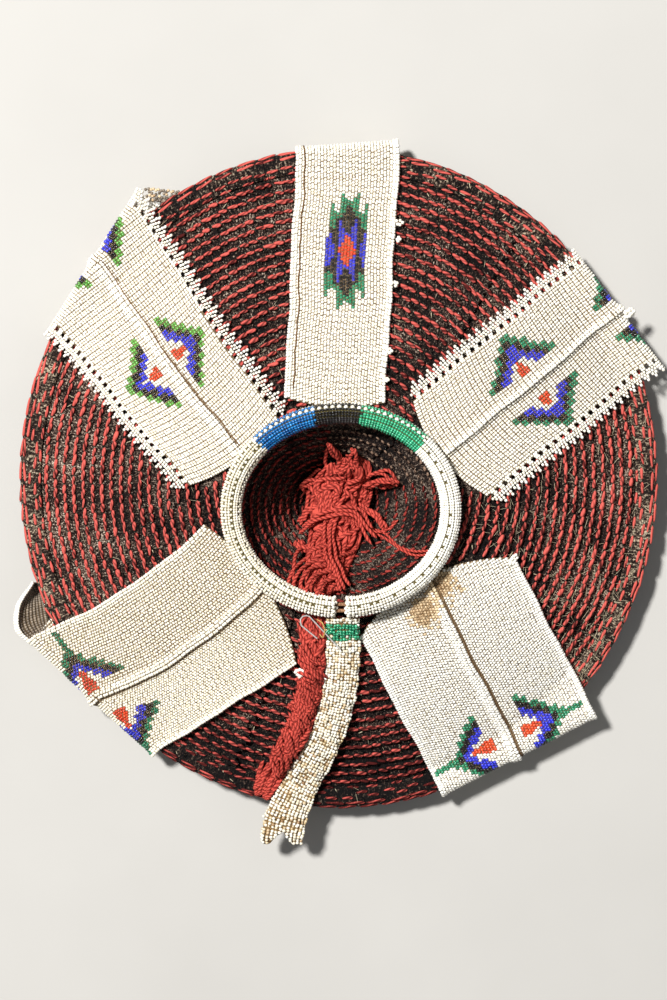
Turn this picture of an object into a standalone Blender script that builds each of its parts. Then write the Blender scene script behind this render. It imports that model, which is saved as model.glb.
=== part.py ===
"""Isicholo hat lying upside down on its crown: a stitched fibre disc with a bowl for the head, a beaded
band round the opening, five beadwork panels folded over the rim, a beaded tab and a red yarn tassel.

Metres, +Z up. The origin is the middle of the crown's flat base. +X is to the right and +Y away from the tab.
"""
import math
from collections import namedtuple

import bmesh
import bpy
from mathutils import Vector

# Fibre hat
RIM_WIDTH = 0.433  # across X, outside the binding
RIM_LENGTH = 0.450  # across Y, outside the binding
RIM_LEVEL = 0.020  # middle of the rim's roll above the floor
WALL = 0.005  # stitched fibre wall
FLANK_RISE = 0.040  # from the rim up to the lip of the opening
FLANK_POWER = 1.8  # how much steeper the flank is at the rim than at the lip
BASE_WIDTH = 0.240  # flat middle of the crown, across X
BINDING_WIDTH = 0.015  # wrapped roll, seen from above
GAP = 0.0003  # between pieces that touch

# Opening and bowl
OPENING_WIDTH = 0.145  # across X, at the middle of the beaded band
OPENING_LENGTH = 0.128  # across Y
OPENING_X = 0.0015
OPENING_Y = -0.0138  # the opening is nearer the tab's side of the rim
BOWL_LEAN = -0.008  # how far the deepest place lies from the opening's middle, along X
BOWL_FLOOR_SHARE = 0.16  # flat floor of the bowl, of the opening

# Beaded band
BAND_THICK = 0.0142
BAND_BREAK = 0.009  # open stretch between the band's two ends
BAND_LIFT = 0.004  # the ends ride up over the yarn
BAND_LIFT_ARC = math.radians(50)
CORD_THICK = 0.0024
CORD_SPACING = 0.0042

# Beadwork panels
PANEL_WIDTH = 0.120  # the widest one, at the rim
PANEL_THICK = 0.002
PANEL_TUCK = 0.0035  # from the band's middle line out to the panel's inner end
PANEL_UNDER = 0.040  # length folded under the crown
PANEL_SPARE = 0.0005  # more room under a panel, which bridges the small hollows of the wall
PANEL_LAY = 0.7  # how closely a panel follows the wall's round shape across its width
PANEL_BOW = 0.016  # how far an inner end's corners draw back, at most
PANEL_DRIFT = 0.011  # how far a panel's right half and middle have slipped to the left, at most
DRIFT_ARC = math.radians(144)  # how the slip comes and goes along the panel, as a sine's arc
RIDGE_HEIGHT = 0.0026  # tallest middle seam
RIDGE_SLOPE = 0.009  # gentle side of a middle seam
RIDGE_DROP = 0.0018  # steep side of a middle seam
PICOT_PITCH = 0.0066
PICOT_DEPTH = 0.0022  # how far a picot's tip stands past the valley beside it
PICOT_BAND = 0.0052  # from a picot's tip in to the holes
PICOT_HOLE = 0.0032
PICOTS_CUT = 27  # holes along each lacy edge

Panel = namedtuple(
    "Panel",
    "name root_deg bearing_deg width_in width_out bow drift fold_skew_deg loose ridge ridge_at steep lacy",
)
# root_deg: where the inner end meets the band, seen from the opening's middle.
# bearing_deg: the way the panel runs. width_in, width_out: shares of PANEL_WIDTH at the band and the rim.
# bow: share of PANEL_BOW. drift: share of PANEL_DRIFT. fold_skew_deg: turn of the fold at the rim.
# loose: share of BINDING_WIDTH by which the fold stands off the rim. ridge: share of RIDGE_HEIGHT.
# ridge_at: place of the seam from the middle, as a share of the width. steep: the side on which it drops.
PANELS = (
    Panel("panel_top", 93.6, 86.9, 0.55, 0.575, 0.3, 0.0, -7.0, 0.0, 0.0, 0.0, 1, False),
    Panel("panel_upper_left", 154.1, 126.7, 0.75, 0.90, 0.6, 0.3, -20.0, 0.0, 0.6, -0.04, -1, True),
    Panel("panel_upper_right", 28.1, 38.2, 0.80, 0.81, 0.8, 0.0, 0.5, 0.0, 1.0, -0.02, -1, True),
    Panel("panel_lower_left", 225.4, 213.1, 0.93, 1.0, 0.75, 1.0, -13.0, 0.15, 1.0, 0.0, 1, False),
    Panel("panel_lower_right", 321.6, 297.0, 0.96, 0.99, 1.0, 0.0, -0.5, 0.0, 0.7, 0.0, 1, False),
)

# Tab of folded beadwork
TAB_X = 0.0015  # from the middle of the band's break
TAB_LENGTH = 0.164
TAB_WIDTH = 0.030  # near the free end, where it is widest
TAB_THICK = 0.005
TAB_CROWN = 0.0022  # how much the middle stands above the edges
TAB_BEND = 0.042  # how far the free end swings towards -X
TAB_BEND_POWER = 1.6  # how late along the tab the swing comes
TAB_ROOT_DROP = 0.004  # from the band's middle height down to the tab's root
TAB_NOTCH = 0.010  # depth of the notch between the two points of the free end
TAB_DROOP = 0.003  # how far the free end sinks
TAB_DROOP_FROM = 0.9  # share of the length where that starts
TAB_EASE = 0.2  # share of the length over which the tab comes down on to the wall
TAB_ROWS = 16
TAB_COLUMNS = (-0.5, -0.27, 0.0, 0.27, 0.5)  # shares of the width
# Each row: share of the tab's length, share of its greatest width.
TAB_WIDTHS = ((0.0, 0.75), (0.25, 0.80), (0.55, 0.78), (0.75, 0.83), (0.9, 1.0), (1.0, 0.97))

# Red yarn
ROPE_WIDTH = 0.0150
ROPE_HEIGHT = 0.0095
ROPE_START = 0.08  # where the rope starts and ends, as shares of the tab's length
ROPE_END = 0.74
ROPE_SPANS = 8
ROPE_TIP = 0.6  # size of the rope's last section, of the rope's own
NECK_HEIGHT = 0.0050
NECK_WIDTH = 0.015
NECK_SWING = 0.0028  # the neck comes out from under the band this much further aside, twice over
HEAP_WIDTH = 0.053
HEAP_HEIGHT = 0.024
Heap = namedtuple("Heap", "along aside width height")
# Places are shares of half the opening, from its middle, along -Y and along X.
# Width and height are shares of the heap's.
HEAP_ROWS = (
    Heap(-0.52, 0.03, 0.28, 0.40),
    Heap(-0.36, 0.08, 0.72, 0.80),
    Heap(-0.14, 0.02, 1.00, 1.00),
    Heap(0.10, -0.03, 0.88, 1.00),
    Heap(0.36, -0.04, 0.78, 0.85),
    Heap(0.60, -0.13, 0.72, 0.70),
    Heap(0.71, -0.15, 0.64, 0.56),
    Heap(0.82, -0.17, 0.56, 0.42),
)
YARN_SIDES = 10
YARN_CLEAR = 0.0010  # above the wall, which the yarn's facets cut across
LOCK_THICK = 0.0062
Lock = namedtuple("Lock", "start middle end lift")
# Places are (across X, along Y) as shares of half the opening, from its middle.
# lift: how high the lock leaves the heap, as a share of the heap's height.
LOCKS = (
    Lock((0.06, 0.26), (-0.02, 0.52), (-0.12, 0.66), 0.42),
    Lock((0.16, 0.26), (0.14, 0.48), (0.10, 0.60), 0.38),
    Lock((0.20, 0.16), (0.46, 0.36), (0.52, 0.22), 0.40),
    Lock((-0.06, 0.16), (-0.30, 0.30), (-0.36, 0.14), 0.40),
    Lock((-0.12, 0.02), (-0.34, -0.06), (-0.38, -0.22), 0.45),
    Lock((0.12, 0.00), (0.36, -0.08), (0.40, -0.26), 0.45),
    Lock((-0.16, -0.44), (-0.36, -0.52), (-0.42, -0.38), 0.34),
)

# Steel pin by the band's break
PIN_WIRE = 0.0011
PIN_LENGTH = 0.030
PIN_COIL = 0.0035
PIN_TURN = math.radians(-40)

SPOKES = 36  # facets round the hat
Oval = namedtuple("Oval", "x y half_width half_length")


def rim_oval(inset):
    """The rim's outline drawn in by a length measured along X."""
    half = RIM_WIDTH / 2 - inset
    return Oval(0.0, 0.0, half, half * RIM_LENGTH / RIM_WIDTH)


EDGE = rim_oval(BINDING_WIDTH + GAP)  # outer edge of both walls
LIP = Oval(OPENING_X, OPENING_Y, OPENING_WIDTH / 2, OPENING_LENGTH / 2)
FLOOR = Oval(
    OPENING_X + BOWL_LEAN,
    OPENING_Y,
    BOWL_FLOOR_SHARE * OPENING_WIDTH / 2,
    BOWL_FLOOR_SHARE * OPENING_LENGTH / 2,
)
BOWL_SHARES = (0.0, 0.17, 0.34, 0.5, 0.66, 0.82, 1.0)  # rows of facets from the lip to the floor
FLANK_SHARES = (0.14, 0.30, 0.48, 0.67, 0.85, 1.0)  # and from the rim to the lip
CROWN_SHARES = (0.0, 0.25, 0.5, 0.75)  # and from the flat base towards the rim
PANEL_SPANS = (12, 5, 3)  # rows of a plain panel's faces: on the flank, round the rim and below
BAND_SPANS = 44
EDGE_TOP = RIM_LEVEL + GAP / 2 + WALL
EDGE_BOTTOM = RIM_LEVEL - GAP / 2 - WALL
LIP_TOP = EDGE_TOP + FLANK_RISE
FLOOR_TOP = 2 * WALL + GAP  # the bowl's floor lies on the crown's wall
EDGE_FLAT = WALL / 2 / (EDGE.half_width - LIP.half_width)  # level start of the flank, beside the binding
PANEL_RISE = GAP + PANEL_SPARE + PANEL_THICK / 2  # panel's middle surface above the wall
BAND_HEIGHT = LIP_TOP + PANEL_RISE + PANEL_THICK / 2 + GAP + BAND_THICK / 2
FOLD_RADIUS = (EDGE_TOP - EDGE_BOTTOM) / 2 + PANEL_RISE


def between(first, last, share):
    """The oval at this share of the way from the first to the last."""
    return Oval(*(a + (b - a) * share for a, b in zip(first, last)))


def on_oval(oval, angle):
    return oval.x + oval.half_width * math.cos(angle), oval.y + oval.half_length * math.sin(angle)


def outside(oval, x, y):
    return math.hypot((x - oval.x) / oval.half_width, (y - oval.y) / oval.half_length) > 1


def share_between(first, last, x, y):
    """Which share of the way in from the first oval passes through the point, from 0 to 1."""
    low, high = 0.0, 1.0
    for _ in range(22):
        middle = (low + high) / 2
        if outside(between(first, last, middle), x, y):
            high = middle
        else:
            low = middle
    return low


def flank_height(share):
    """Height of the flank's upper face, level beside the binding and again at the lip."""
    run = max(0.0, (share - EDGE_FLAT) / (1 - EDGE_FLAT))
    return EDGE_TOP + FLANK_RISE * (1 - (1 - run) ** FLANK_POWER)


def bowl_height(share):
    """Height of the bowl's upper face, from the lip at 0 to the floor at 1."""
    return FLOOR_TOP + (LIP_TOP - FLOOR_TOP) * (1 + math.cos(math.pi * share)) / 2


def wall_height(x, y):
    """Height of the fibre wall's upper face anywhere over the hat, and of the binding's top outside it."""
    if outside(EDGE, x, y):
        return EDGE_TOP
    if outside(LIP, x, y):
        return flank_height(share_between(EDGE, LIP, x, y))
    if outside(FLOOR, x, y):
        facets = [(share, bowl_height(share)) for share in BOWL_SHARES]
        return mix(facets, share_between(LIP, FLOOR, x, y))
    return FLOOR_TOP


def crown_oval(share):
    """Outlines of the crown's lower face, from the flat base at 0 to the edge at 1."""
    base = rim_oval((RIM_WIDTH - BASE_WIDTH) / 2)
    return between(base, EDGE, share)


def crown_height(share):
    level = WALL / 2 / (EDGE.half_width - BASE_WIDTH / 2)  # level end beside the binding
    return EDGE_BOTTOM * min(1.0, share / (1 - level)) ** 2


def crown_height_at(x, y):
    base, edge = crown_oval(0), crown_oval(1)
    if outside(edge, x, y):
        return EDGE_BOTTOM
    if not outside(base, x, y):
        return 0.0
    return crown_height(1 - share_between(edge, base, x, y))


def band_height(angle):
    """Height of the band's middle line, lifted over the yarn at its two ends."""
    turn = abs(math.remainder(angle + math.pi / 2, 2 * math.pi))
    if turn > BAND_LIFT_ARC:
        return BAND_HEIGHT
    return BAND_HEIGHT + BAND_LIFT * (1 + math.cos(math.pi * turn / BAND_LIFT_ARC)) / 2


def mix(rows, share):
    """Straight-line reading of a table of (share, value) rows."""
    for (low, first), (high, last) in zip(rows, rows[1:]):
        if share <= high:
            return first + (last - first) * (share - low) / (high - low)
    return rows[-1][1]


def material(name, colour, roughness, metallic=0.0):
    found = bpy.data.materials.new(name)
    found.use_nodes = True
    shader = found.node_tree.nodes["Principled BSDF"]
    shader.inputs["Base Color"].default_value = (*colour, 1)
    shader.inputs["Roughness"].default_value = roughness
    shader.inputs["Metallic"].default_value = metallic
    found.diffuse_color = (*colour, 1)
    return found


def add_object(name, mesh, finish):
    made = bpy.data.objects.new(name, mesh)
    made.data.materials.append(finish)
    bpy.data.collections["isicholo_hat"].objects.link(made)
    return made


def mesh_from(bm, name):
    mesh = bpy.data.meshes.new(name)
    bm.to_mesh(mesh)
    bm.free()
    mesh.shade_smooth()
    mesh.set_sharp_from_angle(angle=math.radians(50))
    return mesh


def ring_mesh(name, sections, spokes, closed):
    """A surface through ring sections, each of which gives a spoke's place. The first is filled, and a closed
    one's last too."""
    bm = bmesh.new()
    spoke = bm.verts.layers.int.new("spoke")
    bmesh.ops.create_circle(bm, cap_ends=True, radius=1, segments=spokes)
    for vert in bm.verts:
        vert[spoke] = round(math.atan2(vert.co.y, vert.co.x) / math.tau * spokes) % spokes
    for vert in bm.verts:
        vert.co = sections[0](vert[spoke] / spokes * math.tau)
    edges = bm.edges[:]
    for section in sections[1:]:
        made = bmesh.ops.extrude_edge_only(bm, edges=edges)["geom"]
        for vert in (piece for piece in made if isinstance(piece, bmesh.types.BMVert)):
            vert.co = section(vert[spoke] / spokes * math.tau)
        edges = [
            piece
            for piece in made
            if isinstance(piece, bmesh.types.BMEdge) and len(piece.link_faces) == 1
        ]
    if closed:
        bmesh.ops.holes_fill(bm, edges=edges, sides=0)
    bmesh.ops.recalc_face_normals(bm, faces=bm.faces)
    return mesh_from(bm, name)


def face_up(mesh, up):
    """Turns an open surface over where its first, level face points the wrong way."""
    if (mesh.polygons[0].normal.z > 0) != up:
        mesh.flip_normals()


def thicken(shape, thickness, offset):
    solid = shape.modifiers.new("wall", "SOLIDIFY")
    solid.thickness = thickness
    solid.offset = offset
    solid.use_even_offset = True
    solid.use_quality_normals = True


def level_section(oval, height):
    return lambda angle: Vector((*on_oval(oval, angle), height))


def flared_wall(finish):
    """One sheet from the bowl's floor up to the lip and down the flank to the rim."""
    bowl_shares = reversed(BOWL_SHARES[1:])
    flank_shares = (*reversed(FLANK_SHARES), EDGE_FLAT, 0.0)
    sections = [level_section(between(LIP, FLOOR, share), bowl_height(share)) for share in bowl_shares]
    sections += [level_section(between(EDGE, LIP, share), flank_height(share)) for share in flank_shares]
    mesh = ring_mesh("flared_wall", sections, SPOKES, False)
    face_up(mesh, True)
    thicken(add_object("flared_wall", mesh, finish), WALL, -1)


def crown_disc(finish):
    """The closed top of the hat, flat in the middle, where it rests."""
    level = 1 - WALL / 2 / (EDGE.half_width - BASE_WIDTH / 2)
    shares = (*CROWN_SHARES, level, 1.0)
    sections = [level_section(crown_oval(share), crown_height(share)) for share in shares]
    mesh = ring_mesh("crown_disc", sections, SPOKES, False)
    face_up(mesh, False)
    thicken(add_object("crown_disc", mesh, finish), WALL, -1)


def rim_binding(finish):
    """A roll with a straight inner side that covers the edges of both walls."""
    bm = bmesh.new()
    depth = EDGE_TOP - EDGE_BOTTOM
    outline = ((-0.5, -0.5), (0.0, -0.5), (0.36, -0.36), (0.5, 0.0), (0.36, 0.36), (0.0, 0.5), (-0.5, 0.5))
    middle = RIM_WIDTH / 2 - BINDING_WIDTH / 2
    corners = [
        bm.verts.new((middle + across * BINDING_WIDTH, 0, RIM_LEVEL + up * depth)) for across, up in outline
    ]
    profile = [bm.edges.new((corners[k - 1], corners[k])) for k in range(len(corners))]
    bmesh.ops.spin(
        bm, geom=corners + profile, axis=(0, 0, 1), angle=math.tau, steps=SPOKES, use_merge=True
    )
    bmesh.ops.scale(bm, verts=bm.verts, vec=(1, RIM_LENGTH / RIM_WIDTH, 1))
    bmesh.ops.recalc_face_normals(bm, faces=bm.faces)
    add_object("rim_binding", mesh_from(bm, "rim_binding"), finish)


def tube(name, points, thickness, resolution, finish):
    """A wire or tube along straight spans, with closed ends."""
    curve = bpy.data.curves.new(name, "CURVE")
    curve.dimensions = "3D"
    curve.bevel_depth = thickness / 2
    curve.bevel_resolution = resolution
    curve.use_fill_caps = True
    spline = curve.splines.new("POLY")
    spline.points.add(len(points) - 1)
    for point, place in zip(spline.points, points):
        point.co = (*place, 1)
    return add_object(name, curve, finish)


def beaded_band(finish):
    """An oval tube, open where the tab hangs."""
    half_break = math.asin(BAND_BREAK / OPENING_WIDTH)
    points = []
    for k in range(BAND_SPANS + 1):
        angle = -math.pi / 2 + half_break + (math.tau - 2 * half_break) * k / BAND_SPANS
        points.append((*on_oval(LIP, angle), band_height(angle)))
    tube("beaded_band", points, BAND_THICK, 2, finish)


def band_cords(finish):
    """Two brown cords between the band's ends."""
    x, y = on_oval(LIP, -math.pi / 2)
    half = BAND_BREAK / 2 - 2 * GAP
    for name, side in (("band_cord_upper", 0.5), ("band_cord_lower", -0.5)):
        place = y + side * CORD_SPACING
        points = [(x - half, place, band_height(-math.pi / 2)), (x + half, place, band_height(-math.pi / 2))]
        tube(name, points, CORD_THICK, 2, finish)


class Fold:
    """Where a flat panel's points come to lie once it runs out over the flank and folds under the rim."""

    def __init__(self, panel):
        self.panel = panel
        self.width_in = panel.width_in * PANEL_WIDTH
        self.width_out = panel.width_out * PANEL_WIDTH
        root = math.radians(panel.root_deg)
        bearing = math.radians(panel.bearing_deg)
        self.run = Vector((math.cos(bearing), math.sin(bearing)))
        self.side = Vector((-self.run.y, self.run.x))
        lip = 1 / math.hypot(math.cos(root) / LIP.half_width, math.sin(root) / LIP.half_length)
        reach = PANEL_TUCK + lip
        self.root = Vector((LIP.x + reach * math.cos(root), LIP.y + reach * math.sin(root)))
        self.skew = math.tan(math.radians(panel.fold_skew_deg))
        turn = bearing - math.radians(panel.fold_skew_deg)
        self.across_fold = Vector((math.cos(turn), math.sin(turn)))
        self.fold_at = self.rim_distance() + panel.loose * BINDING_WIDTH
        self.shrink = math.cos(math.radians(panel.fold_skew_deg))
        self.under = self.fold_at + (math.pi * FOLD_RADIUS) / self.shrink
        self.length = self.under + PANEL_UNDER / self.shrink

    def rim_distance(self):
        """How far along the middle line the fold starts, so that all its width clears the binding."""
        rim = rim_oval(FOLD_RADIUS - PANEL_RISE)
        furthest = 0.0
        for share in (-0.5, -0.375, -0.25, -0.125, 0.0, 0.125, 0.25, 0.375, 0.5):
            aside = share * self.width_out
            start = self.root + self.side * (aside + self.drift(1, 2 * share))
            low, high = 0.0, RIM_LENGTH
            for _ in range(30):
                middle = (low + high) / 2
                if outside(rim, *(start + self.run * middle)):
                    high = middle
                else:
                    low = middle
            furthest = max(furthest, low - aside * self.skew)
        return furthest

    def width(self, along):
        share = min(1.0, along / self.fold_at)
        return self.width_in + (self.width_out - self.width_in) * share

    def drift(self, share, across):
        """How far to the left the cloth has slipped, at this share of its length and this share across."""
        return self.panel.drift * PANEL_DRIFT * math.sin(DRIFT_ARC * share) * (1 - max(0.0, across))

    def ridge(self, along, aside):
        """Height of the middle seam: a gentle rise on one side, a drop on the other, level under the band."""
        panel = self.panel
        clear = min(1.0, along / (BAND_THICK / 2))
        past = (aside - panel.ridge_at * self.width_in) * panel.steep
        if past > RIDGE_DROP or past < -RIDGE_SLOPE:
            return 0.0
        height = clear * panel.ridge * RIDGE_HEIGHT
        return height * (1 - (past / RIDGE_DROP if past > 0 else -past / RIDGE_SLOPE))

    def place(self, along, aside):
        """World place of a point that lies this far along and aside, on rows that turn with the fold."""
        across = aside / (self.width(along) / 2)
        share = min(1.0, along / self.fold_at)
        bow = self.panel.bow * PANEL_BOW * across**2 * (1 - share)
        turned = aside * self.skew * share
        past = (along - self.fold_at) * self.shrink
        raised = self.ridge(along, aside)
        aside += self.drift(share, across)
        if past <= 0:
            flat = self.root + self.run * (along + bow + turned) + self.side * aside
            return Vector((*flat, self.laid(flat, aside) + raised))
        start = self.root + self.run * (self.fold_at + turned) + self.side * aside
        top = EDGE_TOP + PANEL_RISE
        if past < math.pi * FOLD_RADIUS:
            angle = past / FOLD_RADIUS
            out = start + self.across_fold * (FOLD_RADIUS + raised) * math.sin(angle)
            return Vector((*out, top - FOLD_RADIUS + (FOLD_RADIUS + raised) * math.cos(angle)))
        flat = start - self.across_fold * (past - math.pi * FOLD_RADIUS)
        return Vector((*flat, crown_height_at(*flat) - PANEL_RISE - raised))

    def laid(self, flat, aside):
        """Height over the flank: close to the wall, but straighter across than the wall is."""
        middle = flat - self.side * aside
        high = wall_height(*middle)
        here = wall_height(*flat)
        if outside(LIP, *middle):
            here = high + PANEL_LAY * (here - high) if here < high else here
        else:
            here = max(here, LIP_TOP)
        return here + PANEL_RISE


def panel_rows(fold):
    """Distances along the panel for its rows of faces."""
    if fold.panel.lacy:
        step = PICOT_PITCH / 2
        lacy = [step * k for k in range(2 * PICOTS_CUT + 1)]
        rest = fold.length - lacy[-1]
        count = max(1, round(rest / PICOT_PITCH))
        return lacy + [lacy[-1] + rest * (k + 1) / count for k in range(count)]
    flank, bend, back = PANEL_SPANS
    rows = [fold.fold_at * k / flank for k in range(flank)]
    rows += [fold.fold_at + (fold.under - fold.fold_at) * k / bend for k in range(bend)]
    return rows + [fold.under + (fold.length - fold.under) * k / back for k in range(back + 1)]


def panel_columns(fold, along, row):
    """Distances aside for one row of corners, from the right edge to the left."""
    panel = fold.panel
    half = fold.width(along) / 2
    seam = panel.ridge_at * fold.width_in
    if not panel.ridge:
        return [-half, -half / 2, 0, half / 2, half]
    low, high = (seam - RIDGE_SLOPE, seam + RIDGE_DROP)
    if panel.steep < 0:
        low, high = (seam - RIDGE_DROP, seam + RIDGE_SLOPE)
    if not panel.lacy:
        return [-half, -half / 2, low, seam, high, half / 2, half]
    tip = half if row % 2 else half - PICOT_DEPTH
    outer = half - PICOT_BAND
    inner = outer - PICOT_HOLE
    return [-tip, -outer, -inner, low, seam, high, inner, outer, tip]


def grid_sheet(name, rows, columns, place, open_face, thickness, finish):
    """A sheet bent from a flat grid. place and open_face take a row's and a column's number."""
    bm = bmesh.new()
    row_of = bm.verts.layers.int.new("row")
    column_of = bm.verts.layers.int.new("column")
    bmesh.ops.create_grid(bm, x_segments=rows, y_segments=columns, size=0.5)
    for vert in bm.verts:
        vert[row_of] = round((vert.co.x + 0.5) * rows)
        vert[column_of] = round((vert.co.y + 0.5) * columns)
    holes = [
        face
        for face in bm.faces
        if open_face(min(v[row_of] for v in face.verts), min(v[column_of] for v in face.verts))
    ]
    bmesh.ops.delete(bm, geom=holes, context="FACES")
    for vert in bm.verts:
        vert.co = place(vert[row_of], vert[column_of])
    thicken(add_object(name, mesh_from(bm, name), finish), thickness, 0)


def beadwork_panel(panel, finish):
    fold = Fold(panel)
    rows = panel_rows(fold)
    columns = [panel_columns(fold, along, row) for row, along in enumerate(rows)]

    def place(row, column):
        return fold.place(rows[row], columns[row][column])

    def picot_hole(row, column):
        cut = row % 2 == 0 and row < 2 * PICOTS_CUT
        return panel.lacy and cut and column in (1, len(columns[0]) - 3)

    grid_sheet(panel.name, len(rows) - 1, len(columns[0]) - 1, place, picot_hole, PANEL_THICK, finish)


def tab_line(share):
    """The tab's middle line seen from above."""
    x, y = on_oval(LIP, -math.pi / 2)
    start = y - BAND_THICK / 2 - GAP
    swing = (1 - math.cos(math.pi * share**TAB_BEND_POWER)) / 2
    return Vector((x + TAB_X - TAB_BEND * swing, start - TAB_LENGTH * share))


def tab_side(share):
    """Unit vector across the tab, towards +X."""
    step = 0.001
    run = tab_line(share + step) - tab_line(share - step) if share > step else Vector((0, -1))
    run.normalize()
    return Vector((-run.y, run.x))


def tab_width(share):
    return TAB_WIDTH * mix(TAB_WIDTHS, share)


def tab_height(share, place):
    """Middle height of the tab: from the band's side down on to the flank, then out past the rim."""
    middle = tab_line(share)
    high = wall_height(*middle)
    here = wall_height(*place)
    step = 0.002
    slope = (wall_height(*tab_line(share + step)) - high) / (step * TAB_LENGTH)
    lying = max(here, (high + here) / 2) + 3 * GAP + TAB_THICK / 2 * math.hypot(1, slope)
    root = band_height(-math.pi / 2) - TAB_ROOT_DROP
    ease = max(0.0, 1 - share / TAB_EASE) ** 2
    droop = TAB_DROOP * max(0.0, (share - TAB_DROOP_FROM) / (1 - TAB_DROOP_FROM)) ** 2
    return max(lying, root) * ease + lying * (1 - ease) - droop


def beaded_tab(finish):
    """A folded strip, thicker in the middle, whose free end has two points."""
    columns = len(TAB_COLUMNS) - 1

    def place(row, column):
        share = row / TAB_ROWS
        if row == TAB_ROWS and column == columns // 2:
            share -= TAB_NOTCH / TAB_LENGTH
        flat = tab_line(share) + tab_side(share) * TAB_COLUMNS[column] * tab_width(share)
        crown = TAB_CROWN * (1 - (2 * TAB_COLUMNS[column]) ** 2)
        return Vector((*flat, tab_height(share, flat) + crown))

    grid_sheet("beaded_tab", TAB_ROWS, columns, place, lambda row, column: False, TAB_THICK, finish)


def rope_line(share):
    """The rope's middle line, beside the tab."""
    aside = tab_width(share) / 2 + ROPE_WIDTH / 2 + 2 * GAP
    return tab_line(share) - tab_side(share) * aside


def yarn_section(place, run, width, height):
    """A section across the yarn: level below, where it lies on the wall, and round above."""
    side = Vector((-run.y, run.x)).normalized()
    bottoms = [wall_height(*(place + side * width * aside)) for aside in (-0.5, -0.25, 0, 0.25, 0.5)]
    base = max(bottoms) if height < HEAP_HEIGHT / 2 else None

    def section(angle):
        aside = math.cos(angle) * width / 2
        flat = place + side * aside
        under = wall_height(*flat) if base is None else base
        low = under + YARN_CLEAR
        if math.sin(angle) < -0.01:
            return Vector((*flat, low))
        top = wall_height(*place) if base is None else base
        high = max(low + height * 0.25, top + height * math.sin(angle) + YARN_CLEAR)
        return Vector((*flat, high))

    return section


def yarn_path():
    """Places and sizes along the yarn, from the far side of the heap to the rope's free end."""
    half_x, half_y = OPENING_WIDTH / 2, OPENING_LENGTH / 2
    path = [
        (
            Vector((OPENING_X + row.aside * half_x, OPENING_Y - row.along * half_y)),
            HEAP_WIDTH * row.width,
            HEAP_HEIGHT * row.height,
        )
        for row in HEAP_ROWS
    ]
    neck_x = rope_line(ROPE_START).x
    neck_y = OPENING_Y - half_y
    for step in (1, 0, -1):
        place = Vector((neck_x + (step + 1) * NECK_SWING, neck_y + step * BAND_THICK / 2))
        path.append((place, NECK_WIDTH, NECK_HEIGHT))
    for k in range(1, ROPE_SPANS + 1):
        share = ROPE_START + (ROPE_END - ROPE_START) * k / ROPE_SPANS
        swell = 1.0 if k < ROPE_SPANS else ROPE_TIP
        path.append((rope_line(share), ROPE_WIDTH * swell, ROPE_HEIGHT * swell))
    return path


def bezier(start, middle, end, share):
    return start * (1 - share) ** 2 + middle * 2 * share * (1 - share) + end * share**2


def yarn_lock(number, lock, finish):
    """One lock of yarn that leaves the heap and bends back down towards the bowl."""
    half_x, half_y = OPENING_WIDTH / 2, OPENING_LENGTH / 2
    ends = (lock.start, lock.middle, lock.end)
    flat = [Vector((OPENING_X + x * half_x, OPENING_Y + y * half_y)) for x, y in ends]
    points = []
    for k in range(6):
        share = k / 5
        place = bezier(*flat, share)
        clear = LOCK_THICK / 2 * (1.9 - 0.4 * share) + 2 * GAP
        lift = HEAP_HEIGHT * lock.lift * (1 - share**2) * 0.8
        points.append((*place, max(wall_height(*place), FLOOR_TOP) + clear + lift))
    made = tube(f"yarn_lock_{number}", points, LOCK_THICK, 1, finish)
    for k, point in enumerate(made.data.splines[0].points):
        point.radius = 1.0 if k < 3 else 1.0 - 0.2 * (k - 2)
    return made


def as_mesh(shape):
    """The evaluated curve as a closed mesh object in the cutters' collection."""
    graph = bpy.context.evaluated_depsgraph_get()
    mesh = bpy.data.meshes.new_from_object(shape.evaluated_get(graph))
    bm = bmesh.new()
    bm.from_mesh(mesh)
    bmesh.ops.remove_doubles(bm, verts=bm.verts, dist=0.00001)
    bmesh.ops.recalc_face_normals(bm, faces=bm.faces)
    bm.to_mesh(mesh)
    bm.free()
    made = bpy.data.objects.new(shape.name + "_mesh", mesh)
    made.matrix_world = shape.matrix_world
    bpy.data.collections["cutters"].objects.link(made)
    bpy.data.objects.remove(shape)
    made.hide_render = True
    made.display_type = "WIRE"
    return made


def yarn_tassel(finish):
    """The heap, the neck under the band and the rope in one loft, with locks fused on."""
    path = yarn_path()
    sections = []
    for k, (place, width, height) in enumerate(path):
        before = path[max(0, k - 1)][0]
        after = path[min(len(path) - 1, k + 1)][0]
        sections.append(yarn_section(place, after - before, width, height))
    tassel = add_object("yarn_tassel", ring_mesh("yarn_tassel", sections, YARN_SIDES, True), finish)
    locks = [as_mesh(yarn_lock(number, lock, finish)) for number, lock in enumerate(LOCKS)]
    for made in locks:
        join = tassel.modifiers.new(made.name, "BOOLEAN")
        join.operation = "UNION"
        join.object = made


def safety_pin(finish):
    """Bent wire that lies on the yarn and the tab beside the band's break."""
    run = Vector((math.cos(PIN_TURN), math.sin(PIN_TURN)))
    side = Vector((run.y, -run.x))
    start = rope_line(0.04) - run * PIN_COIL * 2
    level = wall_height(*rope_line(0.1)) + ROPE_HEIGHT + 5 * GAP + PIN_WIRE
    near = [start + side * PIN_COIL * 1.2 + run * PIN_LENGTH * 0.45, start + side * PIN_COIL * 1.2]
    turns = [
        start + side * PIN_COIL * math.cos(angle) - run * PIN_COIL * math.sin(angle)
        for angle in (0.6, 1.2, 1.9, 2.6)
    ]
    far = [start - side * PIN_COIL * 1.1, start + run * PIN_LENGTH]
    points = [(*place, level) for place in near + turns + far]
    tube("safety_pin", points, PIN_WIRE, 1, finish)


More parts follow.
